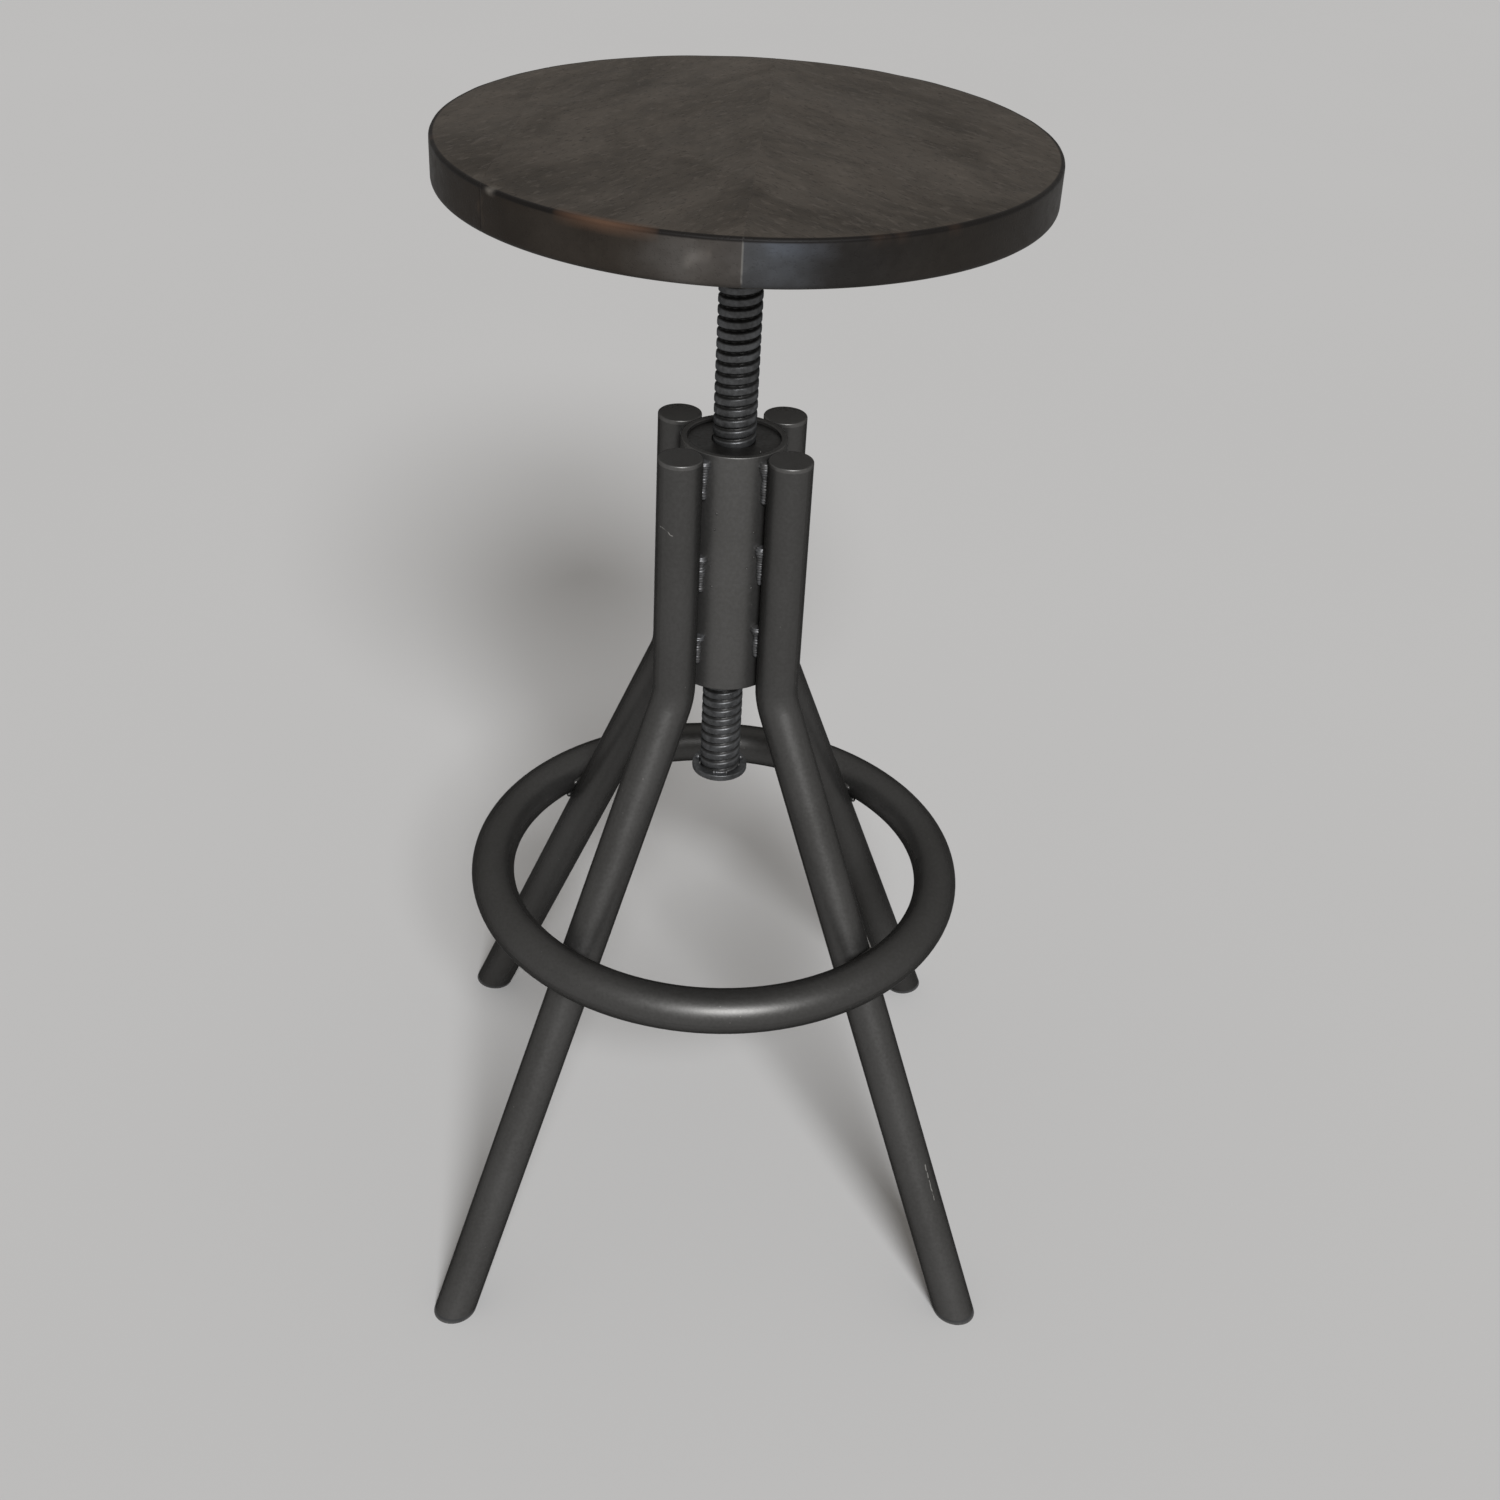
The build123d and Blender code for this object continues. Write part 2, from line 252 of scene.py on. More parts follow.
def feed(tree, made, inputs):
    """Link or set a node's inputs."""
    for socket, value in inputs.items():
        if isinstance(value, bpy.types.NodeSocket):
            tree.links.new(value, made.inputs[socket])
        else:
            made.inputs[socket].default_value = value


def node(tree, kind, inputs=None, **settings):
    """Add a node, set its options, and link or set its inputs."""
    made = tree.nodes.new(kind)
    for option, value in settings.items():
        setattr(made, option, value)
    feed(tree, made, inputs or {})
    return made


def first_of(tree, kind, inputs=None, **settings):
    """First output of a new node."""
    return node(tree, kind, inputs, **settings).outputs[0]


def math_node(tree, operation, *values):
    """Output of a math node."""
    return first_of(tree, "ShaderNodeMath", dict(enumerate(values)), operation=operation)


def times(tree, first, second):
    """Product of two values."""
    return math_node(tree, "MULTIPLY", first, second)


def line(tree, value, slope, start):
    """Value times a slope, plus a start."""
    return math_node(tree, "MULTIPLY_ADD", value, slope, start)


def vector_node(tree, operation, *values):
    """Vector output of a vector math node."""
    return first_of(tree, "ShaderNodeVectorMath", dict(enumerate(values)), operation=operation)


def measure(tree, operation, *values):
    """Value output of a vector math node."""
    made = node(tree, "ShaderNodeVectorMath", dict(enumerate(values)), operation=operation)
    return made.outputs["Value"]


def scaled(tree, vector, share):
    """Vector times a value."""
    return first_of(tree, "ShaderNodeVectorMath", {0: vector, "Scale": share}, operation="SCALE")


def parts_of(tree, place):
    """X, Y and Z of a place."""
    return node(tree, "ShaderNodeSeparateXYZ", {0: place}).outputs


def off_axis(tree, place):
    """Distance of a place from the upright axis."""
    return measure(tree, "LENGTH", vector_node(tree, "MULTIPLY", place, (1.0, 1.0, 0.0)))


def span(tree, value, low, high, bottom=0.0, top=1.0):
    """Smooth step of a value between two limits."""
    sockets = {0: value, 1: low, 2: high, 3: bottom, 4: top}
    return first_of(tree, "ShaderNodeMapRange", sockets, interpolation_type="SMOOTHSTEP")


def mixed(tree, share, first, second, blend="MIX"):
    """Colour between two colours, each a socket or three numbers."""
    sockets = {0: share}
    for socket, side in ((6, first), (7, second)):
        sockets[socket] = side if isinstance(side, bpy.types.NodeSocket) else (*side, 1.0)
    return node(tree, "ShaderNodeMix", sockets, data_type="RGBA", blend_type=blend).outputs[2]


def noise_node(tree, place, scale, detail=2.0, rough=0.5, seed=None):
    """Outputs of a noise texture, which has a fourth dimension where a seed is given."""
    sockets = {"Vector": place, "Scale": scale, "Detail": detail, "Roughness": rough}
    if seed is None:
        return node(tree, "ShaderNodeTexNoise", sockets).outputs
    return node(tree, "ShaderNodeTexNoise", {**sockets, "W": seed}, noise_dimensions="4D").outputs


def new_group(kind, name, inputs, output, socket="NodeSocketFloat"):
    """Empty node group, what it is given, and its one output.

    An input is named with its default, or with its kind of socket where it has no default.
    """
    tree = bpy.data.node_groups.new(name, kind)
    for label, default in inputs.items():
        wanted = default if isinstance(default, str) else SOCKETS[type(default)]
        made = tree.interface.new_socket(label, in_out="INPUT", socket_type=wanted)
        if wanted != default:
            made.default_value = default
    tree.interface.new_socket(output, in_out="OUTPUT", socket_type=socket)
    return tree, tree.nodes.new("NodeGroupInput").outputs, tree.nodes.new("NodeGroupOutput").inputs[0]


def group_node(tree, name, inputs):
    """Output of a shared group in a material."""
    return first_of(tree, "ShaderNodeGroup", inputs, node_tree=bpy.data.node_groups[name])


# Shared finishes


def make_uneven_tone():
    """Cloudy tone with finer mottling over it."""
    inputs = {"Place": ANYWHERE, "Cloud Scale": 12.0, "Mottle Scale": 150.0, "Mottle Share": 0.5}
    tree, given, result = new_group("ShaderNodeTree", "uneven tone", inputs, "Tone")
    cloud = noise_node(tree, given["Place"], given["Cloud Scale"], 3.0)[0]
    mottle = noise_node(tree, given["Place"], given["Mottle Scale"], 4.0)[0]
    sockets = {0: given["Mottle Share"], 2: cloud, 3: mottle}
    both = first_of(tree, "ShaderNodeMix", sockets, data_type="FLOAT")
    tree.links.new(span(tree, both, 0.32, 0.68), result)


def make_specks():
    """Sparse pin-head specks of dust and wear."""
    inputs = {"Place": ANYWHERE, "Scale": 160.0, "Size": 0.12}
    tree, given, result = new_group("ShaderNodeTree", "fine specks", inputs, "Mask")
    sockets = {"Vector": given["Place"], "Scale": given["Scale"]}
    cells = node(tree, "ShaderNodeTexVoronoi", sockets).outputs
    dots = span(tree, cells["Distance"], 0.0, given["Size"], 1.0, 0.0)
    few = span(tree, first_of(tree, "ShaderNodeSeparateColor", {0: cells["Color"]}), 0.84, 0.9)
    tree.links.new(times(tree, dots, few), result)


def begin_mark(name, width, scale, detail, stray):
    """Group for a mark along a line, and the distance of a straying place from that line."""
    inputs = {"Place": ANYWHERE, "Start": ANYWHERE, "End": (0.0, 0.0, 1.0), "Width": width}
    tree, given, result = new_group("ShaderNodeTree", name, inputs, "Mask")
    wander = noise_node(tree, given["Place"], scale, detail)["Color"]
    shift = vector_node(tree, "SUBTRACT", wander, (0.5, 0.5, 0.5))
    place = vector_node(tree, "MULTIPLY_ADD", shift, stray, given["Place"])
    along = vector_node(tree, "SUBTRACT", given["End"], given["Start"])
    offset = vector_node(tree, "SUBTRACT", place, given["Start"])
    reach = measure(tree, "DOT_PRODUCT", offset, along)
    square = measure(tree, "DOT_PRODUCT", along, along)
    share = first_of(tree, "ShaderNodeClamp", {0: math_node(tree, "DIVIDE", reach, square)})
    return tree, given, result, measure(tree, "DISTANCE", offset, scaled(tree, along, share))


def make_scratch():
    """One broken scratch along a line."""
    stray = (0.0016, 0.0016, 0.0016)
    tree, given, result, gap = begin_mark("single scratch", 0.0005, 220.0, 1.0, stray)
    drawn = span(tree, gap, times(tree, given["Width"], 0.35), given["Width"], 1.0, 0.0)
    broken = span(tree, noise_node(tree, given["Place"], 400.0, 1.0)[0], 0.36, 0.5)
    tree.links.new(times(tree, drawn, broken), result)


def make_soft_mark():
    """Soft-edged patch about a line."""
    tree, given, result, gap = begin_mark("soft mark", 0.02, 38.0, 3.0, (0.03, 0.03, 0.0))
    tree.links.new(span(tree, gap, 0.0, given["Width"], 1.0, 0.0), result)


def tone_of(tree, place, cloud, mottle):
    """Uneven tone at two scales."""
    return group_node(tree, "uneven tone", {"Place": place, "Cloud Scale": cloud, "Mottle Scale": mottle})


def mark_of(tree, kind, place, start, end, width):
    """Mask of a mark along a line."""
    return group_node(tree, kind, {"Place": place, "Start": start, "End": end, "Width": width})


def blank_material(name):
    """New material's tree, its Principled shader, and the place on the object."""
    material = bpy.data.materials.new(name)
    material.use_nodes = True
    tree = material.node_tree
    tree.nodes.clear()
    shader = node(tree, "ShaderNodeBsdfPrincipled")
    node(tree, "ShaderNodeOutputMaterial", {"Surface": shader.outputs["BSDF"]})
    return tree, shader, node(tree, "ShaderNodeTexCoord").outputs["Object"]


def relief(tree, shader, height, distance, strength):
    """Bump on a material's shader."""
    sockets = {"Height": height, "Distance": distance, "Strength": strength}
    tree.links.new(first_of(tree, "ShaderNodeBump", sockets), shader.inputs["Normal"])


def drawn_out(tree, place, share):
    """Place on a board, drawn out along the grain."""
    return vector_node(tree, "MULTIPLY", place, (1.0, share, 1.0))


def make_stained_wood(seat):
    """Dark stained hardwood boards, darker on the rim, with rubbed edges and glue lines."""
    tree, shader, place = blank_material("stained wood")
    worn = {}
    for name in ("board", "rub", "nick"):
        worn[name] = node(tree, "ShaderNodeAttribute", attribute_name=name).outputs["Fac"]
    reach = off_axis(tree, place)
    level = parts_of(tree, place)["Z"]
    rim = span(tree, reach, *(seat.radius - inset for inset in RIM_BAND))

    # Grain of each board
    right_board = math_node(tree, "GREATER_THAN", worn["board"], 1.5)
    lean = line(tree, right_board, seat.right_grain - seat.left_grain, seat.left_grain)
    sockets = {"Vector": place, "Angle": lean}
    laid = first_of(tree, "ShaderNodeVectorRotate", sockets, rotation_type="Z_AXIS")
    own = vector_node(tree, "ADD", laid, scaled(tree, (0.37, 0.21, 0.13), worn["board"]))
    swirl = noise_node(tree, own, 9.0)["Color"]
    curled = vector_node(tree, "MULTIPLY_ADD", swirl, (0.085, 0.05, 0.03), own)
    figure = noise_node(tree, drawn_out(tree, curled, 0.2), 46.0, 5.0, 0.62)[0]
    fibre = noise_node(tree, drawn_out(tree, own, 0.12), 420.0, 3.0)[0]
    cloud = tone_of(tree, drawn_out(tree, own, 0.4), 24.0, 170.0)
    dash = drawn_out(tree, own, 0.28)
    flecks = span(tree, noise_node(tree, dash, 420.0)[0], 0.57, 0.69)
    pores = span(tree, noise_node(tree, dash, 760.0, 1.0)[0], 0.61, 0.69)

    # Stain on the top, and on the rim with its pale places and painted sheen
    broad = line(tree, span(tree, figure, 0.33, 0.67), 0.46, times(tree, cloud, 0.5))
    tone = line(tree, fibre, 0.26, math_node(tree, "ADD", broad, -0.11))
    for start_x, start_y, end_x, end_y, width, share in SEAT_MARKS:
        start, end = (start_x, start_y, seat.top), (end_x, end_y, seat.top)
        tone = line(tree, mark_of(tree, "soft mark", place, start, end, width), share, tone)
    tone = line(tree, tone, line(tree, rim, -0.55, 1.0), times(tree, rim, 0.27))
    stain = mixed(tree, tone, seat.dark_stain, seat.light_stain)
    stain = mixed(tree, times(tree, flecks, line(tree, rim, -0.26, 0.3)), stain, PALE_FLECK)
    stain = mixed(tree, times(tree, pores, line(tree, rim, -0.3, 0.45)), stain, DARK_PORE)
    rim_stain = mixed(tree, 1.0, stain, seat.rim_shade, "MULTIPLY")
    rim_stain = mixed(tree, 1.0, rim_stain, mixed(tree, right_board, WARM_RIM, COOL_RIM), "MULTIPLY")
    stain = mixed(tree, rim, stain, rim_stain)
    # Paler marks and painted sheen on the rim lift the stain
    for start, end, width, lift in RIM_SHEEN_AND_MARKS:
        shown = times(tree, mark_of(tree, "soft mark", place, start, end, width), rim)
        stain = vector_node(tree, "MULTIPLY", stain, mixed(tree, shown, (1.0, 1.0, 1.0), lift))

    # Edge, glue lines and wear
    near_rim = span(tree, reach, *(seat.radius - inset for inset in ARRIS_BAND))
    near_top = span(tree, level, *(seat.top - drop for drop in ARRIS_DROP))
    stain = mixed(tree, times(tree, times(tree, near_rim, near_top), 0.95), stain, DARK_ARRIS)
    sockets = {"Vector": place, "Rotation": (0.0, 0.0, -seat.grain_turn)}
    across = parts_of(tree, first_of(tree, "ShaderNodeMapping", sockets))["X"]
    gaps = span(tree, noise_node(tree, place, 120.0)[0], 0.30, 0.5)
    line_share = times(tree, line(tree, rim, 0.6, 0.015), gaps)
    for joint, glue in ((seat.left_joint, DARK_GLUE), (seat.right_joint, PALE_GLUE)):
        off_line = math_node(tree, "ABSOLUTE", math_node(tree, "SUBTRACT", across, joint))
        shown = times(tree, span(tree, off_line, *GLUE_WIDTH, 1.0, 0.0), line_share)
        stain = mixed(tree, shown, stain, glue)
    stain = mixed(tree, times(tree, worn["rub"], span(tree, figure, 0.25, 0.5)), stain, seat.rubbed)
    stain = mixed(tree, times(tree, worn["nick"], 0.9), stain, NICKED_WOOD)
    dull = line(tree, rim, -0.02, line(tree, cloud, 0.12, 0.5))
    feed(tree, shader, {"Base Color": stain, "Roughness": dull, "Specular IOR Level": 0.13})
    relief(tree, shader, math_node(tree, "SUBTRACT", times(tree, fibre, 0.8), pores), 0.0002, 0.35)


def make_lacquer(parts, name, lift):
    """Gunmetal lacquer with faint specks and a few scratches; a lift above one paints it paler, as painted
    light on the hub and the caps.
    """
    tree, shader, place = blank_material(name)
    tone = tone_of(tree, place, 15.0, 520.0)
    thick, thin = ([part * lift for part in coat] for coat in (parts.lacquer_shade, parts.lacquer))
    specks = group_node(tree, "fine specks", {"Place": place, "Scale": 170.0, "Size": 0.11})
    marks = times(tree, specks, 0.35)
    for width, *points in SCRATCHES:
        for start, end in zip(points, points[1:]):
            scratch = mark_of(tree, "single scratch", place, start, end, width)
            marks = math_node(tree, "MAXIMUM", marks, scratch)
    sockets = {
        "Base Color": mixed(tree, marks, mixed(tree, tone, thick, thin), BARE_METAL),
        "Roughness": line(tree, tone, 0.07, 0.38),
        "Metallic": 0.82,
        "Specular IOR Level": 0.05,
        "Specular Tint": (0.02, 0.02, 0.02, 1.0),
    }
    feed(tree, shader, sockets)
    peel = noise_node(tree, place, 850.0)[0]
    relief(tree, shader, line(tree, marks, -0.6, peel), 0.00012, 0.25)


def make_screw_steel(screw):
    """Blackened steel, rubbed on the crests, with old grease in the groove, and painted shade that darkens it
    near the seat.
    """
    tree, shader, place = blank_material("blackened screw steel")
    crest = screw_high.x - screw.depth * 0.06
    proud = span(tree, off_axis(tree, place), screw_high.x - screw.depth * 0.75, crest)
    # Painted shade: the crests darken towards the seat for the seat's shadow, and the rubbed share below
    # carries it
    seat_shade = span(tree, parts_of(tree, place)["Z"], *SCREW_SHADE_BAND, 1.0, 0.7)
    shaded_bare = times(tree, seat_shade, line(tree, tone_of(tree, place, 60.0, 420.0), 0.7, 0.3))
    rubbed = times(tree, proud, shaded_bare)
    sockets = {
        "Base Color": mixed(tree, rubbed, screw.grease, screw.steel),
        "Roughness": line(tree, rubbed, -0.12, 0.5),
        "Metallic": 0.85,
        "Specular Tint": (0.25, 0.26, 0.27, 1.0),
    }
    feed(tree, shader, sockets)
    relief(tree, shader, noise_node(tree, place, 900.0, 3.0)[0], 0.0002, 0.3)


def make_metal(name, scales, dark, light, rough, bump, grit=None, **sockets):
    """Metal of uneven tone. The roughness is a slope and a start, the bump a depth and a strength."""
    tree, shader, place = blank_material(name)
    tone = tone_of(tree, place, *scales)
    sockets["Base Color"] = mixed(tree, tone, dark, light)
    sockets["Roughness"] = line(tree, tone, *rough)
    feed(tree, shader, sockets)
    relief(tree, shader, noise_node(tree, place, grit)[0] if grit else tone, *bump)


def make_shaded_bush_steel():
    """Bush steel, painted near black: painted shade in the hub's bore and under the seat plate."""
    dark, light = (0.011, 0.0105, 0.010), (0.019, 0.018, 0.017)
    gloss = {"Metallic": 0.5, "Specular IOR Level": 0.3}
    make_metal("oily bush steel", (70.0, 500.0), dark, light, (0.2, 0.38), (0.0002, 0.3), **gloss)


def make_weld_metal(parts):
    """Weld run under thin lacquer: sooty hollows and bright ripples."""
    soot, scales, bump = (0.085, 0.083, 0.082), (90.0, 600.0), (0.0002, 0.35)
    make_metal("weld metal", scales, soot, parts.weld_metal, (-0.12, 0.5), bump, 1400.0, Metallic=0.75)


def make_fixing_steel():
    """Bright steel of the plate's screws, with dirt in it."""
    dark, light = (0.20, 0.19, 0.175), (0.42, 0.41, 0.39)
    bump = (0.00008, 0.2)
    make_metal("fixing steel", (140.0, 900.0), dark, light, (-0.12, 0.45), bump, Metallic=1.0)


def make_foot_plastic(parts):
    """Black moulded plastic, dusty near the floor."""
    tree, shader, place = blank_material("foot plastic")
    tone = tone_of(tree, place, 80.0, 700.0)
    dust = times(tree, span(tree, parts_of(tree, place)["Z"], *DUSTY_FOOT, 0.45, 0.0), tone)
    base = mixed(tree, dust, parts.plastic, FLOOR_DUST)
    feed(tree, shader, {"Base Color": base, "Roughness": line(tree, tone, 0.15, 0.45)})
    relief(tree, shader, noise_node(tree, place, 1600.0, 1.0)[0], 0.0001, 0.3)


def make_floor_finish(stage):
    """Plain pale floor with a very faint unevenness."""
    tree, shader, place = blank_material("pale floor")
    dim = [part * 0.97 for part in stage.floor]
    base = mixed(tree, noise_node(tree, place, 1.3)[0], dim, stage.floor)
    feed(tree, shader, {"Base Color": base, "Roughness": 0.95, "Specular IOR Level": 0.1})


def finish_of(name):
    """Finish by name, made the first time that a piece asks for it."""
    scene = bpy.context.scene
    makers = {
        "stained wood": (make_stained_wood, scene.stool_seat),
        "gunmetal lacquer": (make_lacquer, scene.stool_frame, "gunmetal lacquer", 1.0),
        # Hub and caps: the same lacquer painted paler, as painted light
        "hub lacquer": (make_lacquer, scene.stool_frame, "hub lacquer", 1.35),
        "cap lacquer": (make_lacquer, scene.stool_frame, "cap lacquer", 1.5),
        "blackened screw steel": (make_screw_steel, scene.stool_screw),
        "oily bush steel": (make_shaded_bush_steel,),
        "weld metal": (make_weld_metal, scene.stool_frame),
        "fixing steel": (make_fixing_steel,),
        "foot plastic": (make_foot_plastic, scene.stool_frame),
        "pale floor": (make_floor_finish, scene.stool_stage),
    }
    if "uneven tone" not in bpy.data.node_groups:
        for make_group in (make_uneven_tone, make_specks, make_scratch, make_soft_mark):
            make_group()
    if name not in bpy.data.materials:
        make, *given = makers[name]
        make(*given)
    return bpy.data.materials[name]


# Mesh helpers

# Edges that stay sharp: on most pieces, on the boards, and on the thread
SHARP, BOARD_SHARP, THREAD_SHARP = (math.radians(degrees) for degrees in (35.0, 38.0, 60.0))
# Flat faces round each turned part
SEAT_SIDES, SCREW_SIDES, STOP_SIDES, HUB_SIDES, CAP_SIDES = 540, 64, 128, 144, 72


def dress(node_name, finish):
    """Give a solid that keeps its shape its finish."""
    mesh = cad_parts[node_name].data
    mesh.materials.clear()
    mesh.materials.append(finish_of(finish))


def place_piece(piece, body, slot, *nodes):
    """Ride a finished piece on its body in place of the solids that it stands for."""
    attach(piece, body)
    if nodes:
        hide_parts(*nodes)


def linked(name, data):
    """New object in the scene."""
    made = bpy.data.objects.new(name, data)
    bpy.context.scene.collection.objects.link(made)
    return made


def plain_mesh(name, working):
    """Mesh from a bmesh."""
    mesh = bpy.data.meshes.new(name)
    working.to_mesh(mesh)
    working.free()
    return mesh


def mesh_piece(name, working, finish, sharp=SHARP):
    """Object from a bmesh, smooth but for its sharp edges."""
    mesh = plain_mesh(name, working)
    mesh.shade_smooth()
    mesh.set_sharp_from_angle(angle=sharp)
    mesh.materials.append(finish_of(finish))
    return linked(name, mesh)


def polar(radius, turn, height=0.0):
    """Place at a turn round the upright axis."""
    return Vector((radius * math.cos(turn), radius * math.sin(turn), height))


def eased(corners, steps=5):
    """Outline whose corners, each (radius, height, easing), are rounded off."""
    outline = []
    for index, (across, up, easing) in enumerate(corners):
        here = Vector((across, up))
        if easing == 0:
            outline.append(here)
            continue
        before = (Vector(corners[index - 1][:2]) - here).normalized() * easing
        after = (Vector(corners[(index + 1) % len(corners)][:2]) - here).normalized() * easing
        for step in range(steps + 1):
            share = step / steps
            outline.append(here + before * (1 - share) ** 2 + after * share**2)
    return outline


def turned(outline, segments, closed):
    """Outline turned about the upright axis. An open outline starts and ends on the axis."""
    working = bmesh.new()
    rings = []
    for across, up in outline:
        if across < 1e-7:
            rings.append([working.verts.new((0.0, 0.0, up))] * segments)
            continue
        turns = [2 * math.pi * step / segments for step in range(segments)]
        rings.append([working.verts.new(polar(across, turn, up)) for turn in turns])
    pairs = list(zip(rings, rings[1:]))
    if closed:
        pairs.append((rings[-1], rings[0]))
    for upper, lower in pairs:
        for step in range(segments):
            ahead = (step + 1) % segments
            corners = [upper[step], lower[step], lower[ahead], upper[ahead]]
            working.faces.new(list(dict.fromkeys(corners)))
    bmesh.ops.recalc_face_normals(working, faces=working.faces)
    return working


def guide_mesh(name, runs):
    """Guide lines for welds: each run is (points, thicknesses, closed)."""
    points, edges, thickness = [], [], []
    for run, widths, closed in runs:
        first = len(points)
        points += run
        thickness += widths
        edges += [(first + step, first + step + 1) for step in range(len(run) - 1)]
        if closed:
            edges.append((first + len(run) - 1, first))
    mesh = bpy.data.meshes.new(name)
    mesh.from_pydata(points, edges, [])
    mesh.attributes.new("thickness", "FLOAT", "POINT").data.foreach_set("value", thickness)
    return mesh


def grown(name, mesh, tree, values):
    """Piece that a node tree makes from a guide mesh, as a plain mesh."""
    piece = linked(name, mesh)
    modifier = piece.modifiers.new(tree.name, "NODES")
    modifier.node_group = tree
    for item in tree.interface.items_tree:
        if item.in_out == "INPUT" and item.name in values:
            modifier[item.identifier] = values[item.name]
    graph = bpy.context.evaluated_depsgraph_get()
    made = bpy.data.meshes.new_from_object(
        piece.evaluated_get(graph), preserve_all_data_layers=True, depsgraph=graph
    )
    piece.modifiers.remove(modifier)
    piece.data = made
    made.name = name
    return piece


# Node trees for what repeats or follows a rule


def new_tree(name, inputs):
    """Empty node tree that takes a guide and a finish and gives a mesh."""
    sockets = {"Geometry": "NodeSocketGeometry", **inputs, "Finish": "NodeSocketMaterial"}
    return new_group("GeometryNodeTree", name, sockets, "Geometry", "NodeSocketGeometry")


def end_tree(tree, geometry, material, result):
    """Last nodes of every tree: smooth, made real, and given its finish."""
    smooth = first_of(tree, "GeometryNodeSetShadeSmooth", {0: geometry})
    real = first_of(tree, "GeometryNodeRealizeInstances", {0: smooth})
    dressed = first_of(tree, "GeometryNodeSetMaterial", {0: real, "Material": material})
    tree.links.new(dressed, result)
    return tree


def stored(tree, name):
    """Named value that a mesh or a curve carries."""
    return first_of(tree, "GeometryNodeInputNamedAttribute", {0: name}, data_type="FLOAT")


def random_vector(tree, low, high, seed):
    """Random vector for each instance."""
    sockets = {0: low, 1: high, "Seed": seed}
    return first_of(tree, "FunctionNodeRandomValue", sockets, data_type="FLOAT_VECTOR")


def make_bead_tree():
    """Rippled weld bead along each guide line."""
    inputs = {"Bead Radius": 0.003, "Ripple Length": 0.0017, "Ripple Height": 0.0006}
    inputs |= {"Unevenness": 0.0012, "Step": 0.00042, "Seed": 1.0}
    tree, given, result = new_tree("weld bead", inputs)
    guides = first_of(tree, "GeometryNodeMeshToCurve", {0: given["Geometry"]})
    sockets = {0: guides, "Length": given["Step"]}
    even = first_of(tree, "GeometryNodeResampleCurve", sockets, mode="LENGTH")
    sockets = {0: even, "Name": "run", "Value": node(tree, "GeometryNodeSplineParameter").outputs["Length"]}
    kept = first_of(tree, "GeometryNodeStoreNamedAttribute", sockets, data_type="FLOAT", domain="POINT")
    thickness = stored(tree, "thickness")
    sockets = {
        0: kept,
        1: first_of(tree, "GeometryNodeCurvePrimitiveCircle", {"Resolution": 14, "Radius": 1.0}),
        "Scale": times(tree, thickness, given["Bead Radius"]),
        "Fill Caps": True,
    }
    bead = first_of(tree, "GeometryNodeCurveToMesh", sockets)
    place = first_of(tree, "GeometryNodeInputPosition")
    rough = noise_node(tree, place, 260.0, seed=given["Seed"])[0]
    phase = math_node(tree, "DIVIDE", stored(tree, "run"), given["Ripple Length"])
    drift = times(tree, line(tree, rough, 1.6, phase), math.pi)
    wave = math_node(tree, "ABSOLUTE", math_node(tree, "SINE", drift))
    swell = times(tree, math_node(tree, "SUBTRACT", wave, 0.6), given["Ripple Height"])
    lump = times(tree, math_node(tree, "SUBTRACT", rough, 0.5), given["Unevenness"])
    out = times(tree, math_node(tree, "ADD", swell, lump), thickness)
    push = scaled(tree, first_of(tree, "GeometryNodeInputNormal"), out)
    moved = first_of(tree, "GeometryNodeSetPosition", {0: bead, "Offset": push})
    return end_tree(tree, moved, given["Finish"], result)


def make_droplet_tree():
    """Weld spatter: a small uneven drop on each guide point."""
    tree, given, result = new_tree("weld spatter", {"Drop Radius": 0.0007, "Seed": 3})
    sockets = {"Radius": given["Drop Radius"], "Subdivisions": 2}
    drop = first_of(tree, "GeometryNodeMeshIcoSphere", sockets)
    size = random_vector(tree, (0.5, 0.5, 0.5), (1.2, 1.2, 1.2), given["Seed"])
    sockets = {0: given["Geometry"], "Instance": drop, "Scale": size}
    spread = first_of(tree, "GeometryNodeInstanceOnPoints", sockets)
    return end_tree(tree, spread, given["Finish"], result)


